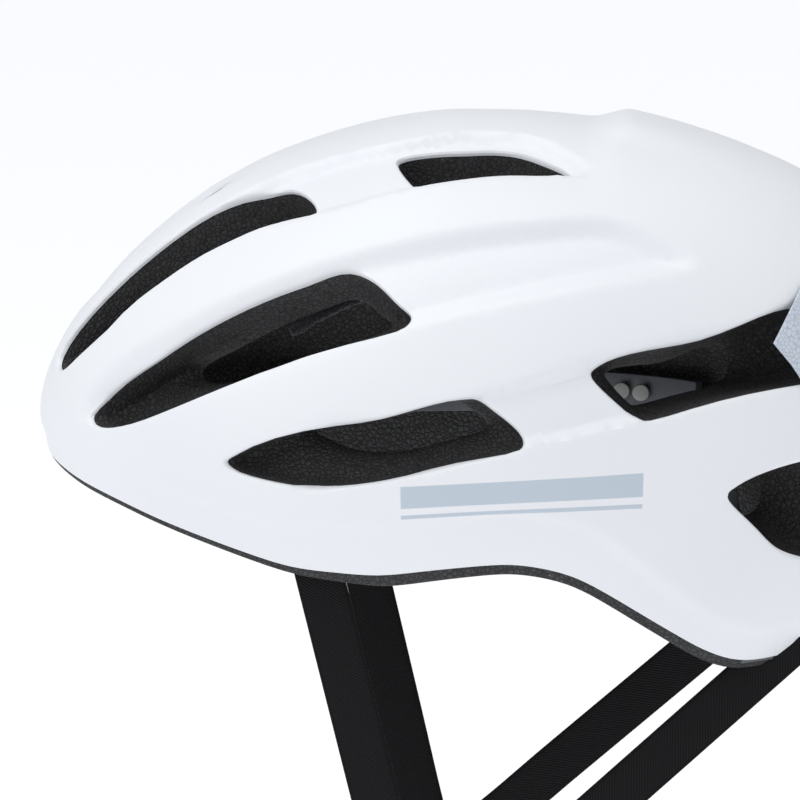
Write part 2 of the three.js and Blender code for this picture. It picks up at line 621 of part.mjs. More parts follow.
const knobBody = rod(KNOB_RADIUS, KNOB_FROM, KNOB_TO, 28);
put('dial_knob', cut(knobBody, rod(SHAFT_RADIUS + FIT_GAP, KNOB_FROM - 1, KNOB_TO - 2, 16),
  rod(SCREW_RADIUS * 4, KNOB_TO - 2.1, KNOB_TO + 1, 16)), BLACK_PLASTIC(), dial);
const gripDisc = lobedDisc(DIAL_RADIUS - 1.3, DIAL_RADIUS, GRIP_LOBES, KNOB_FROM + 0.4, KNOB_TO - 0.4);
put('dial_grip', cut(gripDisc, rod(KNOB_RADIUS + FIT_GAP, KNOB_FROM - 1, KNOB_TO + 1, 28)),
  BLACK_RUBBER(), dial);
const screwSeat = KNOB_TO - 2.1 + FIT_GAP;
put('dial_screw', join(rod(SCREW_RADIUS * 3.2, screwSeat, screwSeat + 1.3, 16),
  rod(SCREW_RADIUS, 2, screwSeat + 0.4, 10)), STEEL(), dial);

// Nape yoke on the inner face of the housing, with a soft pad on each wing.
const YOKE_HEIGHT = 14;
const YOKE_REACH = 40;
const YOKE_THICKNESS = 2;
const WING_LIFT = 5;              // how far the tips of the wings rise
const WING_TAPER = 3;             // how much narrower they are there
const NAPE_PAD_THICKNESS = 4;
const YOKE_TOP = DIAL_Z + YOKE_HEIGHT / 2;
const yokeOuter = BAND_RADIUS + HOUSING_FACE - HOUSING_WALL - FIT_GAP;
const yokeInner = yokeOuter - YOKE_THICKNESS;
const wingLift = (angle) => WING_LIFT * (angle / YOKE_REACH) ** 2;
const yokeStations = between(-YOKE_REACH, YOKE_REACH, 14).map((angle) => {
  const lift = wingLift(angle);
  return [angle, YOKE_TOP - YOKE_HEIGHT + lift + WING_TAPER * Math.abs(angle / YOKE_REACH), YOKE_TOP + lift];
});
put('nape_yoke', bandStrip(yokeStations, yokeInner, yokeOuter), GREY_PLASTIC());
const napeStations = between(12, YOKE_REACH - 3, 4).map((angle) =>
  [angle, YOKE_TOP - YOKE_HEIGHT + wingLift(angle) + 2, YOKE_TOP + wingLift(angle) - 1]);
const napePadOuter = yokeInner - PAD_GAP;
putPair('nape_pad', bandStrip(napeStations, napePadOuter - NAPE_PAD_THICKNESS, napePadOuter), DARK_PAD);

// ---- Side webbing, dividers and cam levers ----
const vector = (p) => new THREE.Vector3(...p);
const sideNormal = [[1, 0, 0]];
const [dividerX, dividerY, dividerTop] = STRAP_MEETING;
const dividerFoot = dividerTop - DIVIDER_LENGTH;
const dividerCentre = [dividerX, dividerY, dividerTop - DIVIDER_LENGTH / 2];
const LAYER = WEBBING_THICKNESS / 2 + FIT_GAP / 2;   // half the pitch of two layers of webbing

// Webbing from just below an anchor to just above the divider, clear of both by its slant.
function sideStrap(anchor, sideways) {
  const from = vector(anchor);
  const to = vector(STRAP_MEETING).add(new THREE.Vector3(sideways, 0, 0));
  const along = to.clone().sub(from).normalize();
  const slant = (WEBBING_WIDTH / 2) * Math.hypot(along.x, along.y) / Math.abs(along.z);
  const clearance = slant + 2 * FIT_GAP / Math.abs(along.z);
  const ends = [from.addScaledVector(along, clearance), to.addScaledVector(along, -clearance)];
  return webbing(ends.map((end) => end.toArray()), sideNormal);
}
putPair('strap_front', sideStrap(FRONT_ANCHOR, LAYER), BLACK_WEBBING);
putPair('strap_rear', sideStrap(REAR_ANCHOR, -LAYER), BLACK_WEBBING);

const DIVIDER_SLOT = [WEBBING_WIDTH + 2, 2 * WEBBING_THICKNESS + 3 * FIT_GAP];
const LEVER_LENGTH = 17;
const LEVER_WIDTH = 15;
const LEVER_THICKNESS = 2;
const LEVER_PIN_RADIUS = 1.1;
const LEVER_BARREL_RADIUS = 2.2;
const leverPinX = DIVIDER_THICKNESS / 2 + LEVER_BARREL_RADIUS + FIT_GAP;
const leverPinZ = DIVIDER_LENGTH / 2 - 3.5;
const EAR_WIDTH = 2.4;
const onLeverAxis = (geometry) => geometry.rotateX(Math.PI / 2).translate(leverPinX, 0, leverPinZ);
const leverBore = () => onLeverAxis(rod(LEVER_PIN_RADIUS + FIT_GAP, -DIVIDER_WIDTH, DIVIDER_WIDTH, 12));

// Divider in its own frame: +X away from the cheek, +Z up the webbing.
function dividerBody() {
  const plate = roundedPlate(DIVIDER_WIDTH, DIVIDER_LENGTH, DIVIDER_THICKNESS, 5)
    .translate(0, 0, -DIVIDER_THICKNESS / 2).rotateX(Math.PI / 2).rotateZ(Math.PI / 2);
  const slot = box(-DIVIDER_SLOT[1] / 2, DIVIDER_SLOT[1] / 2, -DIVIDER_SLOT[0] / 2, DIVIDER_SLOT[0] / 2,
    -DIVIDER_LENGTH, DIVIDER_LENGTH);
  const face = DIVIDER_THICKNESS / 2;
  const earSpan = LEVER_WIDTH / 2 + FIT_GAP;
  const ear = (side) => box(face - 0.5, leverPinX + EAR_WIDTH, side > 0 ? earSpan : -earSpan - EAR_WIDTH,
    side > 0 ? earSpan + EAR_WIDTH : -earSpan, leverPinZ - EAR_WIDTH, leverPinZ + EAR_WIDTH);
  return cut(join(plate, ear(1), ear(-1)), slot, leverBore());
}
function leverBody() {
  const back = leverPinX - LEVER_THICKNESS / 2;
  const blade = box(back, back + LEVER_THICKNESS, -LEVER_WIDTH / 2, LEVER_WIDTH / 2,
    leverPinZ - LEVER_LENGTH, leverPinZ);
  return cut(join(blade, onLeverAxis(rod(LEVER_BARREL_RADIUS, -LEVER_WIDTH / 2, LEVER_WIDTH / 2, 14))),
    leverBore());
}
const pinReach = LEVER_WIDTH / 2 + EAR_WIDTH;
const leverPin = onLeverAxis(rod(LEVER_PIN_RADIUS, -pinReach, pinReach, 12));
const atDivider = (geometry) => geometry.translate(...dividerCentre);
putPair('divider', atDivider(dividerBody()), BLACK_PLASTIC);
putPair('divider_lever', atDivider(leverBody()), BLACK_PLASTIC);
putPair('lever_pin', atDivider(leverPin), STEEL);

// ---- Buckle, in its own frame: +Z up the webbing to the socket's end, +X away from the cheek ----
const buckle = new THREE.Group();
buckle.position.set(...BUCKLE_CENTRE);
buckle.rotation.y = radians(BUCKLE_TILT);
helmet.add(buckle);

const SOCKET_WALL = 1.4;
const TONGUE_THICKNESS = 3;
const PRONG_THICKNESS = 3;
const PRONG_WIDTH = 3.2;
const BAR_HOLE = 3.4;
const halfBuckle = BUCKLE_WIDTH / 2;
const halfThick = BUCKLE_THICKNESS / 2;
const mouthHalf = halfBuckle - SOCKET_WALL;
const PRONG_PIVOT_Z = -6.5;
const BARB_FROM = 5.8;            // the barb's catching edge, above the socket's mouth
const BARB_TO = 9;
const PRONG_SHOULDER = 13.4;
const WINDOW_TOP = 14;            // the side window runs from here down to the mouth
const BARB_PROUD = 0.2;
const prongOuter = mouthHalf - 0.6;
const prongBack = prongOuter - 0.4;

const upright = (geometry) => geometry.rotateX(Math.PI / 2).rotateZ(Math.PI / 2);
function socketBody() {
  const casing = upright(roundedPlate(BUCKLE_WIDTH, SOCKET_LENGTH, BUCKLE_THICKNESS, 5)
    .translate(0, 0, -halfThick)).translate(0, 0, SOCKET_LENGTH / 2);
  const mouth = box(-halfThick + SOCKET_WALL, halfThick - SOCKET_WALL, -mouthHalf, mouthHalf,
    -1, SOCKET_LENGTH - 8);
  const window = (side) => box(-halfThick + SOCKET_WALL, halfThick - SOCKET_WALL,
    side > 0 ? mouthHalf - 0.5 : -halfBuckle - 1, side > 0 ? halfBuckle + 1 : 0.5 - mouthHalf,
    -1, WINDOW_TOP);
  const webbingSlot = box(-halfThick - 1, halfThick + 1, -WEBBING_WIDTH / 2 - 1, WEBBING_WIDTH / 2 + 1,
    SOCKET_LENGTH - 6, SOCKET_LENGTH - 6 + BAR_HOLE);
  return cut(casing, mouth, window(1), window(-1), webbingSlot);
}
put('buckle_socket', socketBody(), BLACK_PLASTIC(), buckle);

const PLUG_LENGTH = 15;
function plugBody() {
  const base = upright(roundedPlate(BUCKLE_WIDTH, PLUG_LENGTH, BUCKLE_THICKNESS - 1, 4)
    .translate(0, 0, -halfThick + 0.5)).translate(0, 0, -PLUG_LENGTH / 2 - FIT_GAP);
  const tongue = box(-TONGUE_THICKNESS / 2, TONGUE_THICKNESS / 2, -4, 4, -2, SOCKET_LENGTH - 9);
  const rear = -PLUG_LENGTH - FIT_GAP;
  const slot = (low) => box(-halfThick - 1, halfThick + 1, -WEBBING_WIDTH / 2 - 1, WEBBING_WIDTH / 2 + 1,
    rear + low, rear + low + BAR_HOLE - 1);
  const bayInner = prongOuter - PRONG_WIDTH - 2.4;
  const prongBay = (side) => box(-halfThick - 1, halfThick + 1,
    side > 0 ? bayInner : -halfBuckle - 1, side > 0 ? halfBuckle + 1 : -bayInner,
    PRONG_PIVOT_Z - 0.6, 2);
  return cut(join(cut(base, prongBay(1), prongBay(-1)), tongue), slot(1.6), slot(5.6));
}
put('buckle_plug', plugBody(), BLACK_PLASTIC(), buckle);

// A springy side prong whose barb stands in the socket's side window.
function prong() {
  const shape = new THREE.Shape();
  const inner = prongOuter - PRONG_WIDTH;
  shape.moveTo(inner, PRONG_PIVOT_Z);
  shape.lineTo(prongBack, PRONG_PIVOT_Z);
  shape.lineTo(prongBack, BARB_FROM - 0.4);
  shape.lineTo(halfBuckle + BARB_PROUD, BARB_FROM);
  shape.lineTo(halfBuckle + BARB_PROUD, BARB_TO);
  shape.lineTo(prongOuter, PRONG_SHOULDER);
  shape.lineTo(inner + 0.9, PRONG_SHOULDER + 1);
  shape.lineTo(inner, PRONG_SHOULDER);
  return new THREE.ExtrudeGeometry(shape, { depth: PRONG_THICKNESS, bevelEnabled: false })
    .translate(0, 0, -PRONG_THICKNESS / 2).rotateX(Math.PI / 2).rotateZ(Math.PI / 2);
}
put('buckle_prong_rear', prong(), BLACK_PLASTIC(), buckle);
put('buckle_prong_front', prong(), BLACK_PLASTIC(), buckle).scale.y = -1;

// ---- Lower webbing: divider to socket, and divider round under the chin to the plug ----
buckle.updateMatrix();
const inBuckle = (x, y, z) => vector([x, y, z]).applyMatrix4(buckle.matrix).toArray();
const LOWER_START = dividerTop - 3;
const STRAIGHT_TO = dividerFoot - DIVIDER_TRAVEL - 1;   // straight as far down as the divider slides

// Webbing along a smooth path in a plane of constant Y, or the stretch of it between two shares,
// moved outwards by an offset so that a second layer lies against the first.
function curvedWebbing(knots, steps, from = 0, to = 1, offset = 0) {
  const curve = new THREE.CatmullRomCurve3(knots.map(vector), false, 'centripetal');
  const shares = between(from, to, steps);
  const normals = shares.map((share) =>
    new THREE.Vector3(0, 1, 0).cross(curve.getTangentAt(share)).normalize());
  const path = shares.map((share, i) => curve.getPointAt(share).addScaledVector(normals[i], offset));
  return webbing(path.map((p) => p.toArray()), normals.map((n) => n.toArray()));
}

const socketEnd = inBuckle(0, 0, SOCKET_LENGTH + FIT_GAP);
const plugEnd = inBuckle(0, 0, -PLUG_LENGTH - 2 * FIT_GAP);
const plugLead = inBuckle(0, 0, -PLUG_LENGTH - 7);
put('strap_lower_left', curvedWebbing([
  [dividerX, dividerY, LOWER_START],
  [dividerX, dividerY, STRAIGHT_TO + 12],
  [dividerX, dividerY - 0.1, STRAIGHT_TO],
  inBuckle(0, 0, SOCKET_LENGTH + 4),
  socketEnd,
], 12), BLACK_WEBBING());

const KEEPER_REACH = 22;          // half length of the level stretch under the chin
const chinRoute = [
  [-dividerX, dividerY, LOWER_START],
  [-dividerX, dividerY, STRAIGHT_TO + 12],
  [-dividerX, dividerY - 0.2, STRAIGHT_TO],
  [-69, CHIN_Y + 1.8, CHIN_Z + 42],
  [-60, CHIN_Y + 1.2, CHIN_Z + 22],
  [-45, CHIN_Y + 0.5, CHIN_Z + 8],
  [-KEEPER_REACH - 6, CHIN_Y, CHIN_Z + 1.2],
  [-KEEPER_REACH, CHIN_Y, CHIN_Z],
  [-KEEPER_REACH / 2, CHIN_Y, CHIN_Z],
  [KEEPER_REACH / 2, CHIN_Y, CHIN_Z],
  [KEEPER_REACH, CHIN_Y, CHIN_Z + 0.2],
  plugLead,
  plugEnd,
];
put('chin_strap', curvedWebbing(chinRoute, 40), BLACK_WEBBING());

// The chin strap turns round the plug's bars, and its loose end runs back below it.
const TAIL_FROM = 0.64;           // shares of the chin strap's length
const TAIL_TO = 0.985;
const tailLift = WEBBING_THICKNESS + 2 * FIT_GAP;
put('strap_tail', curvedWebbing(chinRoute, 20, TAIL_FROM, TAIL_TO, tailLift), BLACK_WEBBING());

const KEEPER_LENGTH = 7;
const KEEPER_WALL = 1.4;
const keeperMiddle = CHIN_Z - tailLift / 2;
const keeperBlock = (grow, halfLength) => {
  const y = WEBBING_WIDTH / 2 + 0.5 + grow;
  const z = WEBBING_THICKNESS + 0.6 + grow;
  return box(-halfLength, halfLength, CHIN_Y - y, CHIN_Y + y, keeperMiddle - z, keeperMiddle + z);
};
const keeperBody = cut(keeperBlock(KEEPER_WALL, KEEPER_LENGTH / 2), keeperBlock(0, KEEPER_LENGTH));
put('tail_keeper', keeperBody, BLACK_RUBBER());

export default helmet;
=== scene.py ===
import math

import bmesh
import bpy
import numpy as np
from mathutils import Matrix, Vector, geometry


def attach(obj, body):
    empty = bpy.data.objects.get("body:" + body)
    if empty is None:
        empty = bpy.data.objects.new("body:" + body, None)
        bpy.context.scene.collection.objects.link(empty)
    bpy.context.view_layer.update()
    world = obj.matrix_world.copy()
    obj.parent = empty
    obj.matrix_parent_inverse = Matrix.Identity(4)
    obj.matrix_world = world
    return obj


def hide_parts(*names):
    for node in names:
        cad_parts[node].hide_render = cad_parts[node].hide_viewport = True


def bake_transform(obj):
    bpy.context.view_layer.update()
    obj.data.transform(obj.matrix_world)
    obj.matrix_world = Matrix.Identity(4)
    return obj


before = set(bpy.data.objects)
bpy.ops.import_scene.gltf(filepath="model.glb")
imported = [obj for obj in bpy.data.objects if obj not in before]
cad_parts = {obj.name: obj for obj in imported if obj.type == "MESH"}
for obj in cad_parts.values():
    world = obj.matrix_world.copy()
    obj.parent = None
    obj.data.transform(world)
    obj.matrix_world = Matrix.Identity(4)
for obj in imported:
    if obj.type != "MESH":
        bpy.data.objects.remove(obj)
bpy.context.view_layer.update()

# ---- Studio: a side view from the wearer's left, a little above, in soft even light ----
# The floor is one large pale sheet; three broad panels and the room light the helmet.
AIM = Vector((0, -0.0224, 0.0016))
VIEW_AZIMUTH, VIEW_ELEVATION = math.radians(92.4), math.radians(9)
VIEW_DISTANCE = 2.0
FLOOR_Z = -0.3
FLOOR_COLOUR = (0.35, 0.355, 0.36, 1)

outward = Vector((math.sin(VIEW_AZIMUTH) * math.cos(VIEW_ELEVATION),
                  -math.cos(VIEW_AZIMUTH) * math.cos(VIEW_ELEVATION), math.sin(VIEW_ELEVATION)))
lens = bpy.data.cameras.new("side_camera")
lens.lens, lens.sensor_width = 280.8, 36
camera = bpy.data.objects.new("side_camera", lens)
camera.location = AIM + VIEW_DISTANCE * outward
camera.rotation_euler = outward.to_track_quat("Z", "Y").to_euler()
bpy.context.scene.collection.objects.link(camera)
bpy.context.scene.camera = camera

for label, place, size, power in [
    ("overhead_panel", (0.3, -0.4, 2.2), 2.0, 23),
    ("high_side_panel", (1.7, -1.5, 1.6), 1.6, 14),
    ("rear_panel", (1.2, 2.2, 0.9), 1.8, 1.5),
]:
    panel = bpy.data.lights.new(label, "AREA")
    panel.shape, panel.size, panel.energy = "DISK", size, power
    lamp = bpy.data.objects.new(label, panel)
    lamp.location = place
    lamp.rotation_euler = Vector(place).to_track_quat("Z", "Y").to_euler()
    bpy.context.scene.collection.objects.link(lamp)

room = bpy.data.worlds.new("studio_room")
room.use_nodes = True
room.node_tree.nodes["Background"].inputs["Color"].default_value = (0.95, 0.965, 1, 1)
room.node_tree.nodes["Background"].inputs["Strength"].default_value = 0.5
bpy.context.scene.world = room
bpy.context.scene.view_settings.view_transform = "Standard"


class Wire:
    """A socket in a finish, which sums and products can be written with."""

    def __init__(self, finish, socket):
        self.finish, self.socket = finish, socket

    def maths(self, operation, *values):
        return self.finish.node("ShaderNodeMath", {"operation": operation}, dict(enumerate(values)))

    def __add__(self, other):
        return self.maths("ADD", self, other)

    def __sub__(self, other):
        return self.maths("SUBTRACT", self, other)

    def __rsub__(self, other):
        return self.maths("SUBTRACT", other, self)

    def __mul__(self, other):
        return self.maths("MULTIPLY", self, other)

    __radd__, __rmul__ = __add__, __mul__

    def wave(self):
        return self.maths("SINE", self)

    def size(self):
        return self.maths("ABSOLUTE", self)

    def ramp(self, low, high):
        """0 below low, 1 above high, smooth between."""
        values = {"Value": self, "From Min": low, "From Max": high}
        return self.finish.node("ShaderNodeMapRange", {"interpolation_type": "SMOOTHSTEP"}, values)


class Finish:
    """A material on one Principled shader; uniform values are set on its own sockets."""

    def __init__(self, name, **uniform):
        self.material = bpy.data.materials.new(name)
        self.material.use_nodes = True
        self.tree = self.material.node_tree
        self.shader = self.tree.nodes["Principled BSDF"]
        for socket, value in uniform.items():
            self.shader.inputs[socket.replace("_", " ")].default_value = value

    def node(self, kind, settings, values, output=0):
        made = self.tree.nodes.new(kind)
        for key, value in settings.items():
            setattr(made, key, value)
        for key, value in values.items():
            if isinstance(value, Wire):
                self.tree.links.new(value.socket, made.inputs[key])
            else:
                made.inputs[key].default_value = value
        return Wire(self, made.outputs[output])

    def feed(self, socket, wire):
        self.tree.links.new(wire.socket, self.shader.inputs[socket])

    def place(self):
        return self.node("ShaderNodeTexCoord", {}, {}, "Object")

    def noise(self, scale, detail=2.0):
        return self.node("ShaderNodeTexNoise", {}, {"Vector": self.place(), "Scale": scale, "Detail": detail})

    def cells(self, scale, feature="F1", output="Distance"):
        values = {"Vector": self.place(), "Scale": scale}
        return self.node("ShaderNodeTexVoronoi", {"feature": feature}, values, output)

    def blend(self, share, low, high):
        """A colour between two colours; the Mix node's colour sockets are its 6th and 7th."""
        return self.node("ShaderNodeMix", {"data_type": "RGBA"}, {0: share, 6: low, 7: high}, 2)

    def relief(self, height, depth):
        self.feed("Normal", self.node("ShaderNodeBump", {}, {"Height": height, "Distance": depth}))


def new_piece(name, points, faces, finish, body, sharp=35):
    """A mesh piece in place, with one material, that rides on a body."""
    mesh = bpy.data.meshes.new(name)
    mesh.from_pydata([tuple(p) for p in points], [], [tuple(f) for f in faces])
    mesh.materials.append(finish.material)
    mesh.shade_smooth()
    mesh.set_sharp_from_angle(angle=math.radians(sharp))
    piece = bpy.data.objects.new(name, mesh)
    bpy.context.scene.collection.objects.link(piece)
    if body:
        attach(piece, body)
    return piece


pale_floor = Finish("pale_floor", Base_Color=FLOOR_COLOUR, Roughness=0.9,
                    Emission_Color=(0.965, 0.975, 1, 1), Emission_Strength=0.78)
FLOOR_REACH = 14
floor = new_piece("floor", [(x * FLOOR_REACH, y * FLOOR_REACH, FLOOR_Z)
                            for x, y in ((-1, -1), (1, -1), (1, 1), (-1, 1))],
                  [(0, 1, 2, 3)], pale_floor, None)

# ---- Outer shell: vacuum-formed white polycarbonate, 1 mm, bonded over the foam ----
# Its form is a dome with sunk channels above the vents, a spine behind and a tucked lower band.
# Rays from the origin are drawn on a flat sheet, in degrees: tilt from the crown times heading.
MM = 0.001
CROWN_HEIGHT, FRONT_REACH, REAR_REACH, HALF_WIDTH = 95.0, 137.5, 150.0, 103.0
PLAN_POWER, FRONT_POWER, SIDE_POWER, REAR_POWER = 2.15, 1.68, 2.15, 2.45
TUCK_DEPTH = 135.0
SHELL_WALL, FIT_GAP = 1.0, 0.3
EDGE_DROP = 0.8            # how far the skin turns down round a vent, mm
EDGE = [
    (0, 94.5), (15, 96), (30, 99), (45, 104), (60, 109.5), (75, 111.5), (100, 109),
    (110, 110.5), (125, 117.5), (135, 121.5), (143, 123), (155, 120), (180, 112.5),
]
BELT = [
    (0, 91), (20, 91.5), (40, 95.5), (60, 101), (75, 101), (100, 98.5), (112, 100.5),
    (122, 108), (133, 115), (143, 117), (180, 108),
]
TUCK_STEP, TUCK_STEP_WIDTH = 0.9, 2.2      # mm in just below the belt, over degrees
TUCK_SLOPE = 0.22          # mm inwards for each degree below the belt
CREST = [(-75, 0), (-60, 0.8), (-50, 1.5), (-40, 1.4), (-25, 0.5),
         (-10, -0.2), (10, -0.6), (22, -1.3), (27, 0)]
SPINE = [(22, 0), (24, 0), (28, 2.7), (32, 2.2), (40, 0.9), (48, 0), (90, 0)]
TROUGH_DEPTH = 1.6         # the centre vent lies in a trough of this depth, mm
TROUGH_SPAN = (-78, -40)   # from back to back, degrees
SPINE_HALF_WIDTH = 15
VENTS = {
    "forehead_slot": ([
        (36, 42.5), (28, 46.5), (20.5, 58), (15, 70), (9.5, 82), (12, 83.5), (16.5, 82),
        (26, 70), (34, 60), (42, 53), (50.5, 47), (49.5, 45.5),
    ], 0.8),
    "temple_vent": ([
        (66, 58), (57, 62), (45, 69.5), (35, 78), (25.5, 87.5), (27, 89), (34, 88),
        (45, 83), (60, 75.5), (79.5, 68), (80.5, 66), (77, 63), (71, 59),
    ], 0.72),
    "lower_vent": ([
        (90, 80), (75, 84), (53, 90.5), (51, 92), (53, 93.5), (65, 95.5), (80, 93.5),
        (100.5, 88.5), (101, 87), (96, 82), (93, 80),
    ], 0.7),
    "crown_vent": ([
        (104, 23), (88, 23), (75, 24), (63.5, 26.5), (61.5, 28.5), (75, 37), (77, 37),
        (90, 35), (108, 35), (123, 36.5), (124, 36), (121, 31), (114, 25.5),
    ], 0.8),
    "rear_vent": ([
        (131, 73), (114.5, 75), (113, 76.5), (119, 83.5), (121, 84.5), (145, 81.5),
        (152, 80), (153.5, 77), (150, 72),
    ], 0.7),
    "low_rear_vent": ([
        (144, 92), (134.5, 95), (133, 96.5), (138, 101.5), (142, 104.5), (149, 106),
        (157, 104.5), (159, 100.5), (157.5, 95), (152, 92),
    ], 0.7),
    "tail_vent": ([
        (164, 59), (161, 64), (160, 74), (162, 78), (169, 79), (172.5, 77), (173, 64), (170, 59),
    ], 0.8),
}
CENTRE_SLOT = (-70, -47, 5)        # front, rear, half width
# Sunk channels: outline, depth in mm, and the width of the bevel down into it in degrees.
CHANNELS = [
    ([(14, 83), (20, 60), (28, 43), (36, 35), (52, 26.5), (70, 20.5), (92, 17.5), (112, 19),
      (123, 22), (127, 39), (115, 37.5), (100, 36), (77, 39), (54, 48), (39, 55.5), (27, 69),
      (21.5, 78)], 3.4, 2.4),
    ([(22.5, 88), (38, 71), (54, 60), (76, 51.5), (103, 47.5), (126, 51), (134, 61), (132, 62.5),
      (107, 63), (82, 68), (66, 73), (46, 83), (34, 88.5)], 3.8, 4),
    ([(63, 87), (80, 82), (104, 76), (135, 71.5), (156, 71), (156, 80), (120, 84.5), (101, 88.5),
      (83, 93.5), (62, 96)], 3.2, 2.2),
]
EDGE_RADIUS = 0.7          # degrees of rounding along each vent's edge
SHELL_PITCH = 1.25         # degrees between the shell's points
RIM_POINTS = 240


def on_sheet(points):
    """Headings and tilts to sheet places."""
    heading, tilt = np.radians([p[0] for p in points]), np.array([p[1] for p in points], float)
    return np.column_stack([tilt * np.sin(heading), -tilt * np.cos(heading)])


def rays(places):
    """Unit rays for sheet places."""
    tilt = np.hypot(places[:, 0], places[:, 1])
    heading = np.arctan2(places[:, 0], -places[:, 1])
    down = np.radians(tilt)
    return np.column_stack([np.sin(down) * np.sin(heading), -np.sin(down) * np.cos(heading), np.cos(down)])


def super_sum(power, *terms):
    return sum(np.abs(term) ** power for term in terms) ** (-1 / power)


def dome_radius(places):
    """Distance from the origin to the plain dome, mm."""
    ray = rays(places)
    level = np.maximum(np.hypot(ray[:, 0], ray[:, 1]), 1e-9)
    side, fore = ray[:, 0] / level, ray[:, 1] / level
    plan = super_sum(PLAN_POWER, side / HALF_WIDTH, fore / np.where(fore < 0, FRONT_REACH, REAR_REACH))
    power = SIDE_POWER + (np.where(fore < 0, FRONT_POWER, REAR_POWER) - SIDE_POWER) * fore * fore
    above = super_sum(power, level / plan, ray[:, 2] / CROWN_HEIGHT)
    below = super_sum(2.0, level / plan, ray[:, 2] / TUCK_DEPTH)
    return np.where(ray[:, 2] < 0, below, above)


def smooth_line(points, count, closed=True):
    """Centripetal Catmull-Rom line through the points."""
    knots = np.array(points, float)
    total = len(knots)
    spans = total if closed else total - 1
    if closed:
        ring = [knots[(i - 1) % total] for i in range(total + 3)]
    else:
        ring = [2 * knots[0] - knots[1], *knots, 2 * knots[-1] - knots[-2]]
    line = []
    for s in np.linspace(0, spans, count, endpoint=not closed):
        i = min(int(s), spans - 1)
        p = ring[i:i + 4]
        t = [0.0]
        for a, b in zip(p, p[1:]):
            t.append(t[-1] + max(np.linalg.norm(b - a), 1e-9) ** 0.5)
        at = t[1] + (s - i) * (t[2] - t[1])
        level = p
        for step in (1, 2, 3):
            level = [((t[k + step] - at) * level[k] + (at - t[k]) * level[k + 1]) / (t[k + step] - t[k])
                     if step < 3 else
                     ((t[2] - at) * level[k] + (at - t[1]) * level[k + 1]) / (t[2] - t[1])
                     for k in range(len(level) - 1)]
        line.append(level[0])
    return np.array(line)


def station_values(stations, heading):
    """A value that follows the heading, eased between its stations."""
    turns = np.arange(-180, 540)
    folded = np.abs((turns + 180) % 360 - 180)
    plain = np.interp(folded, [s[0] for s in stations], [s[1] for s in stations])
    window = np.ones(7) / 7
    smoothed = np.convolve(np.convolve(plain, window, "same"), window, "same")
    return np.interp(np.asarray(heading) % 360, turns, smoothed)


def depth_inside(places, outline):
    """Distance to a closed outline, positive inside it."""
    nearest = np.full(len(places), 1e9)
    inside = np.zeros(len(places), bool)
    for a, b in zip(outline, np.roll(outline, -1, axis=0)):
        along = b - a
        share = np.clip((places - a) @ along / max(along @ along, 1e-12), 0, 1)
        nearest = np.minimum(nearest, np.linalg.norm(places - a - share[:, None] * along, axis=1))
        if a[1] != b[1]:
            crossing = (a[1] > places[:, 1]) != (b[1] > places[:, 1])
            inside ^= crossing & (places[:, 0] < a[0] + (places[:, 1] - a[1]) * along[0] / along[1])
    return np.where(inside, nearest, -nearest)


def eased(value, low, high):
    share = np.clip((value - low) / (high - low), 0, 1)
    return share * share * (3 - 2 * share)


def centre_slot(front, rear, half_width):
    turn = np.linspace(0, math.pi, 9)
    back_end = np.column_stack([half_width * np.cos(turn), rear - half_width + half_width * np.sin(turn)])
    front_end = np.column_stack([-half_width * np.cos(turn), front + half_width - half_width * np.sin(turn)])
    return np.vstack([back_end, front_end])


left_vents = {name: (smooth_line(on_sheet(points), 60), throat) for name, (points, throat) in VENTS.items()}
mirror = np.array([-1, 1])
vents = []
for outline, throat in left_vents.values():
    vents += [(outline, throat), ((outline * mirror)[::-1], throat)]
vents.append((centre_slot(*CENTRE_SLOT), 0.8))
channels = [(smooth_line(on_sheet(points), 110), depth, bevel) for points, depth, bevel in CHANNELS]


def relief(places):
    """Height of the shell over the plain dome, mm."""
    folded = np.column_stack([np.abs(places[:, 0]), places[:, 1]])
    tilt = np.hypot(places[:, 0], places[:, 1])
    heading = np.degrees(np.arctan2(folded[:, 0], -folded[:, 1]))
    height = np.interp(places[:, 1], *zip(*CREST)) * (1 - eased(folded[:, 0], 22, 42))
    spine_fade = 1 - eased(folded[:, 0], SPINE_HALF_WIDTH - 4, SPINE_HALF_WIDTH + 6)
    height += np.interp(places[:, 1], *zip(*SPINE)) * spine_fade
    front, rear = TROUGH_SPAN
    in_trough = eased(places[:, 1], front, front + 8) - eased(places[:, 1], rear - 8, rear)
    height -= TROUGH_DEPTH * in_trough * (1 - eased(folded[:, 0], 6, 12))
    below_belt = np.maximum(tilt - station_values(BELT, heading), 0)
    height -= TUCK_SLOPE * below_belt + TUCK_STEP * eased(below_belt, 0, TUCK_STEP_WIDTH)
    for outline, depth, bevel in channels:
        height -= depth * eased(depth_inside(folded, outline), 0, bevel)
    return height


def vent_rounding(places):
    """How far the rounded edge of a vent lies below the shell's face, mm."""
    nearest = np.full(len(places), 1e9)
    for outline, _ in vents:
        nearest = np.minimum(nearest, -depth_inside(places, outline))
    share = np.clip(1 - nearest / EDGE_RADIUS, 0, 1)
    return EDGE_DROP * (1 - np.sqrt(1 - share ** 2))


def shell_edge():
    heading = np.linspace(0, 360, RIM_POINTS, endpoint=False)
    return on_sheet(list(zip(heading, station_values(EDGE, heading))))


def grown(outline, distance):
    """The outline moved outwards on the sheet."""
    along = np.roll(outline, -1, axis=0) - np.roll(outline, 1, axis=0)
    across = np.column_stack([along[:, 1], -along[:, 0]])
    across /= np.maximum(np.linalg.norm(across, axis=1, keepdims=True), 1e-9)
    area = np.sum(outline[:, 0] * np.roll(outline[:, 1], -1) - np.roll(outline[:, 0], -1) * outline[:, 1])
    return outline + (distance if area > 0 else -distance) * across


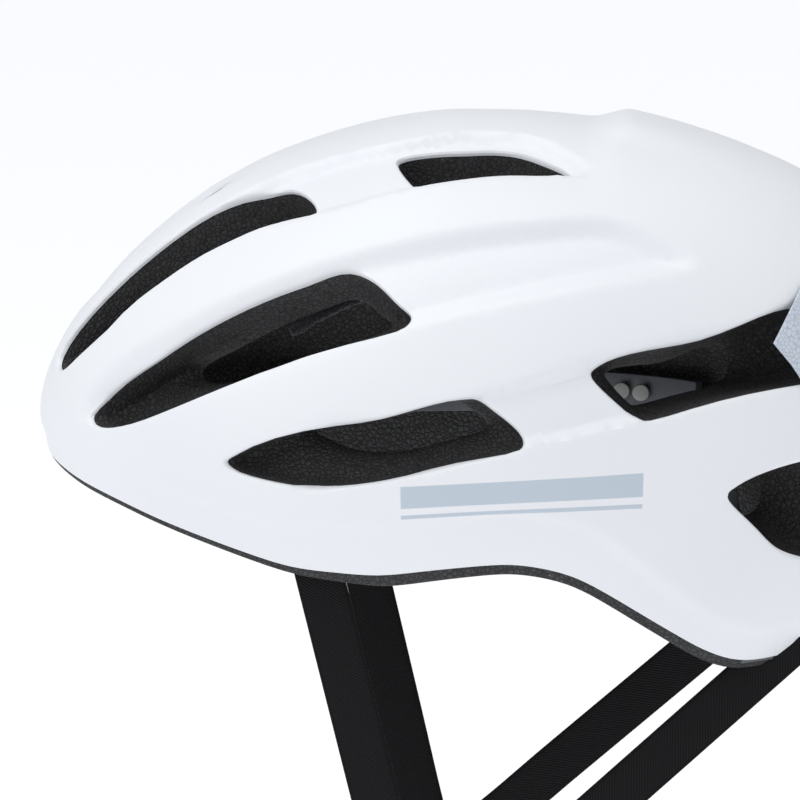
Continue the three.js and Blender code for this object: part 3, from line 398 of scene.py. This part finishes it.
def triangulated(border, holes, pitch, guides=()):
    """Sheet places and triangles inside a border and outside its holes."""
    loops = [border, *holes]
    span = np.abs(border).max()
    grid = np.arange(-span, span + pitch, pitch)
    column, row = np.meshgrid(grid, grid * math.sqrt(3) / 2)
    column = column + np.where(np.arange(len(grid)) % 2, pitch / 2, 0)[:, None]
    inner = np.column_stack([column.ravel(), row.ravel()])
    free = depth_inside(inner, border) > 0.55 * pitch
    for loop in holes:
        free &= depth_inside(inner, loop) < -0.55 * pitch
    for loop in guides:
        free &= np.abs(depth_inside(inner, loop)) > 0.4 * pitch
    inner = inner[free]
    start, edges, all_places = 0, [], []
    for loop in [*loops, *guides]:
        edges += [(start + k, start + (k + 1) % len(loop)) for k in range(len(loop))]
        all_places.append(loop)
        start += len(loop)
    places = np.vstack([*all_places, inner])
    found = geometry.delaunay_2d_cdt([Vector(p) for p in places], edges, [], 0, 1e-6)
    places = np.array([tuple(v) for v in found[0]])
    triangles = np.array([f for f in found[2] if len(f) == 3])
    middle = places[triangles].mean(axis=1)
    kept = depth_inside(middle, border) > 0
    for loop in holes:
        kept &= depth_inside(middle, loop) < 0
    triangles = triangles[kept]
    corners = places[triangles]
    one, two = corners[:, 1] - corners[:, 0], corners[:, 2] - corners[:, 0]
    clockwise = one[:, 0] * two[:, 1] - one[:, 1] * two[:, 0] < 0
    triangles[clockwise] = triangles[clockwise][:, ::-1]
    return places, triangles


def open_edges(triangles):
    """Directed edges used by one triangle only."""
    seen = {}
    for a, b, c in triangles.tolist():
        for pair in ((a, b), (b, c), (c, a)):
            seen[pair] = True
    return [pair for pair in seen if (pair[1], pair[0]) not in seen]


def lifted(places, radius):
    return rays(places) * radius[:, None] * MM


def outward_mesh(piece):
    """Clears loose points, merges double ones and turns every face outwards."""
    working = bmesh.new()
    working.from_mesh(piece.data)
    bmesh.ops.delete(working, geom=[v for v in working.verts if not v.link_faces], context="VERTS")
    bmesh.ops.remove_doubles(working, verts=working.verts, dist=1e-6)
    bmesh.ops.recalc_face_normals(working, faces=working.faces)
    working.to_mesh(piece.data)
    working.free()
    piece.data.shade_smooth()
    piece.data.set_sharp_from_angle(angle=math.radians(38))


def tag_round(piece):
    """A UV map that holds each corner's heading, folded onto one side, and its tilt, as shares of 180."""
    layer = piece.data.uv_layers.new(name="round")
    points = np.array([v.co for v in piece.data.vertices])
    tilt = np.degrees(np.arctan2(np.hypot(points[:, 0], points[:, 1]), points[:, 2]))
    heading = np.degrees(np.arctan2(np.abs(points[:, 0]), -points[:, 1]))
    corner = np.array([loop.vertex_index for loop in piece.data.loops])
    layer.data.foreach_set("uv", (np.column_stack([heading, tilt]) / 180)[corner].ravel())


# White matte lacquer with faint orange peel, and on each side a plain printed band over a fine line.
MARK_HEADING, MARK_TILT = 100, 96.5         # the middle of the mark, degrees
MARK_CLIMB = -0.06                  # degrees of tilt for each degree of heading
MARK_HALF_LENGTH = 20
MARK_LINES = [(-0.8, 1.9), (2.6, 0.35)]     # place across the mark and half thickness, degrees
MARK_SOFT = 0.06
white_shell = Finish("white_shell", Roughness=0.47, IOR=1.5, Coat_Weight=0.12, Coat_Roughness=0.45)
round_uv = white_shell.node("ShaderNodeUVMap", {"uv_map": "round"}, {})
mark_along = white_shell.node("ShaderNodeSeparateXYZ", {}, {0: round_uv}, 0) * 180 - MARK_HEADING
mark_down = white_shell.node("ShaderNodeSeparateXYZ", {}, {0: round_uv}, 1) * 180 - MARK_TILT
mark_down = mark_down - mark_along * MARK_CLIMB
mark_mask = 0
for line_place, half_thickness in MARK_LINES:
    off_line = (mark_down - line_place).size()
    mark_mask = (1 - off_line.ramp(half_thickness - MARK_SOFT, half_thickness + MARK_SOFT)) + mark_mask
past_end = mark_along.size().ramp(MARK_HALF_LENGTH - MARK_SOFT, MARK_HALF_LENGTH + MARK_SOFT)
mark_mask = mark_mask * (1 - past_end)
tone = white_shell.blend(white_shell.noise(9, 1).ramp(0.3, 0.7),
                         (0.83, 0.852, 0.885, 1), (0.87, 0.888, 0.915, 1))
white_shell.feed("Base Color", white_shell.blend(mark_mask, tone, (0.53, 0.6, 0.68, 1)))
white_shell.feed("Roughness", white_shell.noise(600, 3) * 0.06 + 0.44)
white_shell.relief(white_shell.noise(1100, 2), 0.00004)

rim = shell_edge()
holes = [outline for outline, _ in vents]
edge_rings = [grown(outline, step) for outline in holes for step in (0.3, EDGE_RADIUS)]
bevel_rings = []
for outline, _, bevel in channels:
    for loop in (outline, grown(outline, -bevel)):
        bevel_rings += [loop, loop * mirror]
places, triangles = triangulated(rim, holes, SHELL_PITCH, [*edge_rings, *bevel_rings])
face_radius = dome_radius(places) + relief(places)
top = face_radius - vent_rounding(places)
under = face_radius - SHELL_WALL - EDGE_DROP
count = len(places)
faces = [tuple(t) for t in triangles] + [tuple(t[::-1] + count) for t in triangles]
faces += [(b, a, a + count, b + count) for a, b in open_edges(triangles)]
shell = new_piece("white_shell", np.vstack([lifted(places, top), lifted(places, under)]), faces,
                  white_shell, "helmet")
outward_mesh(shell)
tag_round(shell)
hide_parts("outer_shell")

# ---- Foam liner: black expanded polystyrene, moulded in one piece inside the shell ----
# Its beads show on the walls of the vents and on the bare lip below the shell.
HEAD_HALF_WIDTH, HEAD_FRONT, HEAD_REAR, HEAD_TOP, HEAD_POWER = 86.0, 106.0, 106.0, 72.0, 2.2
FOAM_LIP = [(0, 0.9), (38, 1.3), (60, 1.7), (78, 2.7), (103, 2.2), (130, 2), (180, 2)]
THROAT_SETBACK = 6.0       # how far back a vent's throat lies when it narrows to nothing
WALL_ROWS = 9
FOAM_PITCH = 2.8
FOAM_DEPTH = SHELL_WALL + EDGE_DROP + FIT_GAP     # the foam's face under the shell
# Rows round the lip: degrees below the shell's edge, share of the lip, mm in from the face or the hollow.
RIM_OUTSIDE = [(-0.8, 0, FOAM_DEPTH), (0.12, 0, FOAM_DEPTH), (0.12, 0, 0.45), (-0.45, 1, 0.45),
               (-0.12, 1, 0.9), (0, 1, 2.2)]
RIM_INSIDE = [(0, 1, 2.2), (-0.3, 1, 0.9), (-0.7, 1, 0.3), (-1.2, 1, 0)]

black_foam = Finish("black_foam", Roughness=0.8, IOR=1.45)
BEADS = 620                # beads along a metre
bead_edge = black_foam.cells(BEADS, "DISTANCE_TO_EDGE")
bead_tint = black_foam.node("ShaderNodeSeparateXYZ", {}, {0: black_foam.cells(BEADS, "F1", "Color")}, 0)
groove = bead_edge.ramp(0.0, 0.14)
foam_tone = black_foam.blend(bead_tint, (0.036, 0.036, 0.037, 1), (0.054, 0.054, 0.055, 1))
foam_tone = black_foam.blend(groove, (0.019, 0.019, 0.02, 1), foam_tone)
speck = (1 - black_foam.cells(560).ramp(0.05, 0.09)) * black_foam.noise(80, 0).ramp(0.57, 0.62)
black_foam.feed("Base Color", black_foam.blend(speck, foam_tone, (0.5, 0.5, 0.5, 1)))
black_foam.feed("Roughness", groove * -0.12 + 0.8)
black_foam.relief(bead_edge.ramp(0, 0.25) + black_foam.noise(1500) * 0.2, 0.00025)


def hollow_radius(places):
    ray = rays(places)
    level = np.maximum(np.hypot(ray[:, 0], ray[:, 1]), 1e-9)
    length = np.where(ray[:, 1] < 0, HEAD_FRONT, HEAD_REAR)
    plan = super_sum(2.0, ray[:, 0] / level / HEAD_HALF_WIDTH, ray[:, 1] / level / length)
    above = super_sum(HEAD_POWER, level / plan, ray[:, 2] / HEAD_TOP)
    return np.where(ray[:, 2] < 0, plan / level, above)


def foam_radius(places):
    return dome_radius(places) + relief(places) - FOAM_DEPTH


def foam_ring(below_edge, lip_share):
    """A ring on the sheet, some degrees below the shell's edge and some share of the foam lip."""
    heading = np.linspace(0, 360, RIM_POINTS, endpoint=False)
    tilt = station_values(EDGE, heading) + below_edge + lip_share * station_values(FOAM_LIP, heading)
    return on_sheet(list(zip(heading, tilt)))


def lofted(rows):
    """Quads between closed rows of points."""
    wide = len(rows[0])
    quads = []
    for r in range(len(rows) - 1):
        for k in range(wide):
            n = (k + 1) % wide
            quads.append((r * wide + k, r * wide + n, (r + 1) * wide + n, (r + 1) * wide + k))
    return np.vstack(rows), quads


foam_points, foam_faces = [], []


def add_foam(points, faces):
    start = sum(len(p) for p in foam_points)
    foam_points.append(points)
    foam_faces.extend(tuple(int(i) + start for i in face) for face in faces)


throats = []
for outline, throat in vents:
    middle = outline.mean(axis=0)
    inner = middle + throat * (outline - middle) + np.array([0, (1 - throat) * THROAT_SETBACK])
    throats.append(inner)
    top_radius, end_radius = foam_radius(outline), hollow_radius(inner)
    rows = []
    for row in range(WALL_ROWS):
        share = row / (WALL_ROWS - 1)
        across_share = eased(share, 0.25, 1)
        at = outline + across_share * (inner - outline)
        radius = top_radius + share * (end_radius - top_radius)
        rows.append(lifted(at, radius))
    add_foam(*lofted(rows))
outer_places, outer_triangles = triangulated(foam_ring(*RIM_OUTSIDE[0][:2]), holes, FOAM_PITCH)
add_foam(lifted(outer_places, foam_radius(outer_places)), outer_triangles)
inner_places, inner_triangles = triangulated(foam_ring(*RIM_INSIDE[-1][:2]), throats, FOAM_PITCH)
add_foam(lifted(inner_places, hollow_radius(inner_places)), inner_triangles[:, ::-1])
rim_rows = []
for below_edge, lip_share, inset in RIM_OUTSIDE:
    ring = foam_ring(below_edge, lip_share)
    rim_rows.append(lifted(ring, dome_radius(ring) + relief(ring) - inset))
for below_edge, lip_share, inset in RIM_INSIDE:
    ring = foam_ring(below_edge, lip_share)
    rim_rows.append(lifted(ring, hollow_radius(ring) + inset))
add_foam(*lofted(rim_rows))
liner = new_piece("foam_liner", np.vstack(foam_points), foam_faces, black_foam, "helmet")
outward_mesh(liner)
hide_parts("eps_liner")

# ---- Hard fittings: injection moulded, with every corner eased as the mould leaves it ----
# Nylon and acetal with a fine spark texture, steel pins, and rubber on the dial and keeper.


def plastic(name, low, high, roughness, grain=1400, depth=0.00006):
    made = Finish(name, Roughness=roughness, IOR=1.48)
    made.feed("Base Color", made.blend(made.noise(60, 2), (*low, 1), (*high, 1)))
    made.feed("Roughness", made.noise(450, 3) * 0.16 + (roughness - 0.08))
    made.relief(made.noise(grain, 3), depth)
    return made


black_plastic = plastic("black_acetal", (0.012, 0.012, 0.014), (0.022, 0.022, 0.025), 0.42)
grey_plastic = plastic("grey_nylon", (0.085, 0.092, 0.105), (0.11, 0.118, 0.132), 0.45)
light_plastic = plastic("light_acetal", (0.42, 0.43, 0.41), (0.52, 0.53, 0.5), 0.4)
black_rubber = plastic("black_rubber", (0.016, 0.016, 0.018), (0.028, 0.028, 0.03), 0.78, 900, 0.0001)
steel = Finish("plain_steel", Metallic=1.0, Roughness=0.3)
steel.feed("Base Color", steel.blend(steel.noise(300), (0.5, 0.51, 0.52, 1), (0.62, 0.63, 0.64, 1)))
steel.feed("Roughness", steel.noise(2200, 2) * 0.2 + 0.22)


CAD_WELD = 2e-6            # metres within which two CAD points are one


def moulded(node, body, finish, ease):
    """The CAD node's form with its corners rounded."""
    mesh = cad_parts[node].data.copy()
    working = bmesh.new()
    working.from_mesh(mesh)
    bmesh.ops.remove_doubles(working, verts=working.verts, dist=CAD_WELD)
    bmesh.ops.dissolve_limit(working, angle_limit=math.radians(1), verts=working.verts, edges=working.edges)
    working.to_mesh(mesh)
    working.free()
    shape = bpy.data.objects.new(f"{node}_form", mesh)
    bpy.context.scene.collection.objects.link(shape)
    bevel = shape.modifiers.new("eased", "BEVEL")
    bevel.width, bevel.segments, bevel.limit_method = ease * MM, 3, "ANGLE"
    bevel.angle_limit = math.radians(32)
    finished = bpy.data.meshes.new_from_object(shape.evaluated_get(bpy.context.evaluated_depsgraph_get()))
    bpy.data.objects.remove(shape)
    finished.materials.clear()
    finished.materials.append(finish.material)
    finished.shade_smooth()
    finished.set_sharp_from_angle(angle=math.radians(32))
    piece = bpy.data.objects.new(f"{node}_moulded", finished)
    bpy.context.scene.collection.objects.link(piece)
    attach(piece, body)
    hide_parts(node)


SIDES = ("left", "right")
for side in SIDES:
    for stem, body, finish, slot, ease in [
        ("strap_anchor_front", "helmet", grey_plastic, "plastic_grey", 0.5),
        ("strap_anchor_rear", "helmet", grey_plastic, "plastic_grey", 0.5),
        ("pivot_pin", "helmet", light_plastic, "plastic_light", 0.3),
        ("detent_button", "cradle", light_plastic, "plastic_light", 0.3),
        ("side_plate", "cradle", grey_plastic, "plastic_grey", 0.3),
        ("fit_arm", f"arm_{side}", grey_plastic, "plastic_grey", 0.2),
        ("divider", f"divider_{side}", black_plastic, "plastic_black", 0.5),
        ("divider_lever", f"lever_{side}", black_plastic, "plastic_black", 0.4),
        ("lever_pin", f"divider_{side}", steel, "steel", 0.15),
    ]:
        moulded(f"{stem}_{side}", body, finish, ease)
for node, body, finish, slot, ease in [
    ("headband_front", "helmet", grey_plastic, "plastic_grey", 0.3),
    ("nape_yoke", "cradle", grey_plastic, "plastic_grey", 0.4),
    ("dial_housing", "cradle", black_plastic, "plastic_black", 0.5),
    ("housing_cover", "cradle", black_plastic, "plastic_black", 0.5),
    ("drive_pinion", "dial", light_plastic, "plastic_light", 0.1),
    ("dial_knob", "dial", black_plastic, "plastic_black", 0.6),
    ("dial_grip", "dial", black_rubber, "rubber_black", 0.4),
    ("dial_screw", "dial", steel, "steel", 0.2),
    ("buckle_socket", "helmet", black_plastic, "plastic_black", 0.6),
    ("buckle_plug", "plug", black_plastic, "plastic_black", 0.5),
    ("buckle_prong_rear", "prong_rear", black_plastic, "plastic_black", 0.3),
    ("buckle_prong_front", "prong_front", black_plastic, "plastic_black", 0.3),
    ("tail_keeper", "keeper", black_rubber, "rubber_black", 0.4),
]:
    moulded(node, body, finish, ease)

# ---- Reflective panels: satin film on the back ends of the upper rear vents ----
# A fine net of cells sits under a clear face, as on prismatic film.
film = Finish("reflective_film", Roughness=0.3, Coat_Weight=0.5, Coat_Roughness=0.15)
film.feed("Base Color", film.blend(film.cells(700, "DISTANCE_TO_EDGE").ramp(0.02, 0.12),
                                   (0.42, 0.47, 0.54, 1), (0.6, 0.66, 0.74, 1)))
film.relief(film.cells(700), 0.00005)
for side in SIDES:
    moulded(f"rear_reflector_{side}", "helmet", film, 0.2)

# ---- Webbing: black woven polyester tape, 15 mm wide, with a diagonal twill face ----
# Each run is one ribbon with rounded selvages; the weave follows its length.
WEBBING_WIDTH, WEBBING_THICKNESS = 15.0, 1.4
TWILL_PITCH = 1.15         # mm between the ridges
tape = Finish("woven_tape", IOR=1.3, Sheen_Weight=0.03, Sheen_Roughness=0.4)
tape_uv = tape.node("ShaderNodeUVMap", {"uv_map": "tape"}, {})
tape_along = tape.node("ShaderNodeSeparateXYZ", {}, {0: tape_uv}, 0) * 1000
tape_across = tape.node("ShaderNodeSeparateXYZ", {}, {0: tape_uv}, 1) * 1000
ridge = ((tape_along + tape_across * 0.9) * (2 * math.pi / TWILL_PITCH)).wave() * 0.5 + 0.5
thread = (tape_across * (2 * math.pi / 0.45)).wave() * 0.5 + 0.5
selvage = (tape_across.size()).ramp(6.3, 6.6)
weave = ridge * (1 - selvage) * 0.75 + thread * 0.25
tape.feed("Base Color", tape.blend(weave, (0.003, 0.003, 0.0035, 1), (0.008, 0.008, 0.009, 1)))
tape.feed("Roughness", weave * -0.2 + 0.85)
tape.relief(weave, 0.00025)


def ribbon(name, path, facings, body, nodes):
    """A tape along a path, mm; its face looks along the facings."""
    half, thick = WEBBING_WIDTH / 2, WEBBING_THICKNESS / 2
    round_turns = np.linspace(-math.pi / 2, math.pi / 2, 6)
    section = [(half - thick + thick * math.cos(t), thick * math.sin(t)) for t in round_turns]
    section += [(x, thick) for x in (3.4, 0, -3.4)]
    section += [(-x, -z) for x, z in section[:6]]
    section += [(x, -thick) for x in (-3.4, 0, 3.4)]
    path = np.array(path, float)
    along = np.gradient(path, axis=0)
    along /= np.linalg.norm(along, axis=1, keepdims=True)
    wide = np.cross(along, np.broadcast_to(facings, path.shape))
    wide /= np.linalg.norm(wide, axis=1, keepdims=True)
    face = np.cross(wide, along)
    gone = np.concatenate([[0], np.cumsum(np.linalg.norm(np.diff(path, axis=0), axis=1))])
    points, uvs = [], []
    for centre, w, f, run in zip(path, wide, face, gone):
        for x, z in section:
            points.append((centre + x * w + z * f) * MM)
            uvs.append((run * MM, x * MM))
    size = len(section)
    faces = [(i * size + k, i * size + (k + 1) % size, (i + 1) * size + (k + 1) % size, (i + 1) * size + k)
             for i in range(len(path) - 1) for k in range(size)]
    faces += [tuple(range(size))[::-1], tuple(range((len(path) - 1) * size, len(path) * size))]
    piece = new_piece(name, points, faces, tape, None, 50)
    outward = bmesh.new()
    outward.from_mesh(piece.data)
    bmesh.ops.recalc_face_normals(outward, faces=outward.faces)
    outward.to_mesh(piece.data)
    outward.free()
    piece.data.shade_smooth()
    piece.data.set_sharp_from_angle(angle=math.radians(50))
    layer = piece.data.uv_layers.new(name="tape")
    corner = [loop.vertex_index for loop in piece.data.loops]
    layer.data.foreach_set("uv", np.array(uvs)[corner].ravel())
    if body:
        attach(piece, body)
    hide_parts(*nodes)
    return piece


FRONT_ANCHOR, REAR_ANCHOR = (82, -44.2, -39), (57.5, 92.9, -73.5)
STRAP_MEETING = (72, -13.4, -168)
DIVIDER_LENGTH, DIVIDER_TRAVEL = 24, 10
LAYER = WEBBING_THICKNESS / 2 + FIT_GAP / 2
CHIN_Y, CHIN_Z, KEEPER_REACH = -16, -264, 22
divider_x, divider_y, divider_top = STRAP_MEETING
divider_foot = divider_top - DIVIDER_LENGTH
straight_to = divider_foot - DIVIDER_TRAVEL - 1

# Each upper tape starts in its anchor block and turns upright just above the divider's slot.
ANCHOR_SHARE = {"front": -0.05, "rear": -0.11}     # of the run, above the point where it leaves the foam
TURN_HEIGHT, UPPER_RUN = 16, 110       # the turn starts this far up a run of about this length, mm
for side, sign in (("left", 1), ("right", -1)):
    for end, anchor, layer in (("front", FRONT_ANCHOR, LAYER), ("rear", REAR_ANCHOR, -LAYER)):
        start = np.array(anchor, float)
        meeting = np.array(STRAP_MEETING, float) + (layer, 0, 0)
        upper = [start + share * (meeting - start) for share in (ANCHOR_SHARE[end], 0, 0.3, 0.6)]
        towards = start + (1 - TURN_HEIGHT / UPPER_RUN) * (meeting - start)
        route = [*upper, towards, meeting + (0, 0, 3), meeting - (0, 0, 3)]
        ribbon(f"webbing_{end}_{side}", smooth_line(route, 70, closed=False) * (sign, 1, 1), (sign, 0, 0),
               "helmet", [f"strap_{end}_{side}"])

TAIL_FROM, TAIL_TO = 0.64, 0.985       # shares of the chin tape that the loose end lies under
BUCKLE_CENTRE, BUCKLE_TILT = np.array((57, -14.6, -236.2)), math.radians(28)
SOCKET_LENGTH, PLUG_LENGTH = 25, 15
buckle_up = np.array((math.sin(BUCKLE_TILT), 0, math.cos(BUCKLE_TILT)))
lower_route = [
    (divider_x, divider_y, divider_top - 3), (divider_x, divider_y, straight_to + 12),
    (divider_x, divider_y - 0.1, straight_to), BUCKLE_CENTRE + (SOCKET_LENGTH + 4) * buckle_up,
    BUCKLE_CENTRE + (SOCKET_LENGTH + FIT_GAP) * buckle_up,
]
chin_route = [
    (-divider_x, divider_y, divider_top - 3), (-divider_x, divider_y, straight_to + 12),
    (-divider_x, divider_y - 0.2, straight_to), (-69, CHIN_Y + 1.8, CHIN_Z + 42),
    (-60, CHIN_Y + 1.2, CHIN_Z + 22), (-45, CHIN_Y + 0.5, CHIN_Z + 8),
    (-KEEPER_REACH - 6, CHIN_Y, CHIN_Z + 1.2), (-KEEPER_REACH, CHIN_Y, CHIN_Z),
    (-KEEPER_REACH / 2, CHIN_Y, CHIN_Z), (KEEPER_REACH / 2, CHIN_Y, CHIN_Z),
    (KEEPER_REACH, CHIN_Y, CHIN_Z + 0.2), BUCKLE_CENTRE - (PLUG_LENGTH + 7) * buckle_up,
    BUCKLE_CENTRE - (PLUG_LENGTH + 2 * FIT_GAP) * buckle_up,
]


def even_line(route, count, start=0.0, end=1.0, offset=0.0):
    """Evenly spaced points on the smooth route, moved outwards by an offset, and their facings."""
    fine = smooth_line(route, 600, closed=False)
    run = np.concatenate([[0], np.cumsum(np.linalg.norm(np.diff(fine, axis=0), axis=1))])
    at = np.linspace(start, end, count) * run[-1]
    points = np.column_stack([np.interp(at, run, fine[:, k]) for k in range(3)])
    along = np.gradient(points, axis=0)
    facing = np.cross((0, 1, 0), along)
    facing /= np.linalg.norm(facing, axis=1, keepdims=True)
    return points + offset * facing, facing


lower_points, lower_facing = even_line(lower_route, 40)
ribbon("webbing_lower_left", lower_points, lower_facing, "helmet", ["strap_lower_left"])
for name, node, start, end, offset, count in [
    ("webbing_chin", "chin_strap", 0, 1, 0, 120),
    ("webbing_tail", "strap_tail", TAIL_FROM, TAIL_TO, WEBBING_THICKNESS + 2 * FIT_GAP, 60),
]:
    points, facing = even_line(chin_route, count, start, end, offset)
    piece = ribbon(name, points, facing, None, [node])
    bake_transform(piece)

# ---- Soft pads: foam in charcoal knit, on hook tape inside the foam and on the fit band ----
# Each is swollen by air pressure inside its cover, so it crowns and its edge draws in.
pad_cloth = Finish("pad_knit", Sheen_Weight=0.25, Sheen_Roughness=0.5)
knit = pad_cloth.cells(1500).ramp(0.1, 0.75)
pad_cloth.feed("Base Color", pad_cloth.blend(knit, (0.03, 0.031, 0.035, 1), (0.012, 0.012, 0.014, 1)))
pad_cloth.feed("Roughness", knit * 0.1 + 0.85)
pad_cloth.relief(1 - knit + pad_cloth.noise(300) * 0.4, 0.0003)
PAD_VOXEL, PAD_SHRINK, PAD_CAP = 0.0019, 0.0007, 0.0013   # mesh size, inset at the start, furthest swell
PAD_PRESSURE, PAD_STEPS, PAD_FILL = 4, 20, 0.7


def swollen_pad(node, body):
    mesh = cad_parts[node].data.copy()
    working = bmesh.new()
    working.from_mesh(mesh)
    bmesh.ops.remove_doubles(working, verts=working.verts, dist=CAD_WELD)
    working.normal_update()
    shifts = [-PAD_SHRINK * v.normal for v in working.verts]
    for vertex, shift in zip(working.verts, shifts):
        vertex.co += shift
    working.to_mesh(mesh)
    working.free()
    mesh.materials.clear()
    mesh.materials.append(pad_cloth.material)
    piece = bpy.data.objects.new(f"{node}_cover", mesh)
    bpy.context.scene.collection.objects.link(piece)
    remesh = piece.modifiers.new("cover", "REMESH")
    remesh.mode, remesh.voxel_size = "VOXEL", PAD_VOXEL
    piece.data = bpy.data.meshes.new_from_object(piece.evaluated_get(bpy.context.evaluated_depsgraph_get()))
    piece.modifiers.clear()
    start = np.array([v.co for v in piece.data.vertices])
    cloth = piece.modifiers.new("air", "CLOTH")
    cloth.settings.use_pressure, cloth.settings.uniform_pressure_force = True, PAD_PRESSURE
    cloth.settings.effector_weights.gravity = 0
    cloth.point_cache.frame_start, cloth.point_cache.frame_end = 1, PAD_STEPS
    for step in range(1, PAD_STEPS + 1):
        bpy.context.scene.frame_set(step)
    blown = piece.evaluated_get(bpy.context.evaluated_depsgraph_get())
    move = np.array([v.co for v in blown.data.vertices]) - start
    length = np.maximum(np.linalg.norm(move, axis=1, keepdims=True), 1e-9)
    piece.modifiers.clear()
    capped = start + move * np.minimum(1, PAD_CAP / length)
    piece.data.vertices.foreach_set("co", capped.ravel())
    bpy.context.scene.frame_set(1)
    smooth = piece.modifiers.new("cover_smooth", "SUBSURF")
    smooth.levels = smooth.render_levels = 1
    piece.data = bpy.data.meshes.new_from_object(piece.evaluated_get(bpy.context.evaluated_depsgraph_get()))
    piece.modifiers.clear()
    piece.data.shade_smooth()
    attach(piece, body)
    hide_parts(node)


for node in ("crown_pad", "brow_pad", "side_pad_front_left", "side_pad_front_right",
             "side_pad_rear_left", "side_pad_rear_right"):
    swollen_pad(node, "helmet")
for side in SIDES:
    swollen_pad(f"nape_pad_{side}", "cradle")

# ---- Sewing: bar tacks of black thread where the tapes are folded back and sewn ----
# One small tree lays stitches along a line at a set pitch.
stitching = bpy.data.node_groups.new("stitches", "GeometryNodeTree")
for label, kind in (("Line", "NodeSocketGeometry"), ("Pitch", "NodeSocketFloat"),
                    ("Thread", "NodeSocketFloat"), ("Finish", "NodeSocketMaterial")):
    stitching.interface.new_socket(label, in_out="INPUT", socket_type=kind)
stitching.interface.new_socket("Stitches", in_out="OUTPUT", socket_type="NodeSocketGeometry")


def tree_node(kind, settings=(), **inputs):
    made = stitching.nodes.new(kind)
    for key, value in settings:
        setattr(made, key, value)
    for key, value in inputs.items():
        socket = made.inputs[key.replace("_", " ")]
        if isinstance(value, bpy.types.NodeSocket):
            stitching.links.new(value, socket)
        else:
            socket.default_value = value
    return made


given = stitching.nodes.new("NodeGroupInput").outputs
curve = tree_node("GeometryNodeMeshToCurve", Mesh=given["Line"])
spaced = tree_node("GeometryNodeResampleCurve", [("mode", "LENGTH")], Curve=curve.outputs[0],
                   Length=given["Pitch"])
tangent = tree_node("GeometryNodeInputTangent")
turned = tree_node("FunctionNodeAlignRotationToVector", [("axis", "X")], Vector=tangent.outputs[0])
bead = tree_node("GeometryNodeMeshIcoSphere", Radius=1.0, Subdivisions=2)
stretched = tree_node("ShaderNodeCombineXYZ", X=3.2, Y=1.0, Z=0.8)
thread_size = tree_node("ShaderNodeVectorMath", [("operation", "SCALE")],
                        Vector=stretched.outputs[0], Scale=given["Thread"])
laid = tree_node("GeometryNodeInstanceOnPoints", Points=spaced.outputs[0], Instance=bead.outputs[0],
                 Rotation=turned.outputs[0], Scale=thread_size.outputs[0])
real = tree_node("GeometryNodeRealizeInstances", Geometry=laid.outputs[0])
dressed = tree_node("GeometryNodeSetMaterial", Geometry=real.outputs[0], Material=given["Finish"])
leaving = stitching.nodes.new("NodeGroupOutput")
stitching.links.new(dressed.outputs[0], leaving.inputs[0])
STITCH_PITCH, THREAD_RADIUS = 0.0016, 0.0002
thread_black = plastic("sewing_thread", (0.02, 0.02, 0.022), (0.045, 0.045, 0.05), 0.65, 3000, 0.00005)


def sewn_lines(name, lines, body):
    """Rows of stitches along straight lines, mm, as one mesh piece."""
    mesh = bpy.data.meshes.new(name)
    mesh.from_pydata([tuple(np.array(p) * MM) for line in lines for p in line],
                     [(2 * k, 2 * k + 1) for k in range(len(lines))], [])
    piece = bpy.data.objects.new(name, mesh)
    bpy.context.scene.collection.objects.link(piece)
    sewing = piece.modifiers.new("sewing", "NODES")
    sewing.node_group = stitching
    ids = {item.name: item.identifier for item in stitching.interface.items_tree if item.in_out == "INPUT"}
    sewing[ids["Pitch"]], sewing[ids["Thread"]] = STITCH_PITCH, THREAD_RADIUS
    sewing[ids["Finish"]] = thread_black.material
    piece.data = bpy.data.meshes.new_from_object(piece.evaluated_get(bpy.context.evaluated_depsgraph_get()))
    piece.modifiers.clear()
    piece.data.shade_smooth()
    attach(piece, body)


# Stitch rows across the sewn fold of the lower tape, on its outer face above the socket.
face_out = np.array((math.cos(BUCKLE_TILT), 0, -math.sin(BUCKLE_TILT)))
tack_rows = []
for along in (26.2, 27.6):
    centre = BUCKLE_CENTRE + along * buckle_up + (WEBBING_THICKNESS / 2 + 0.05) * face_out
    tack_rows.append((centre + (0, -6, 0), centre + (0, 6, 0)))
sewn_lines("tack_lower_left", tack_rows, "helmet")
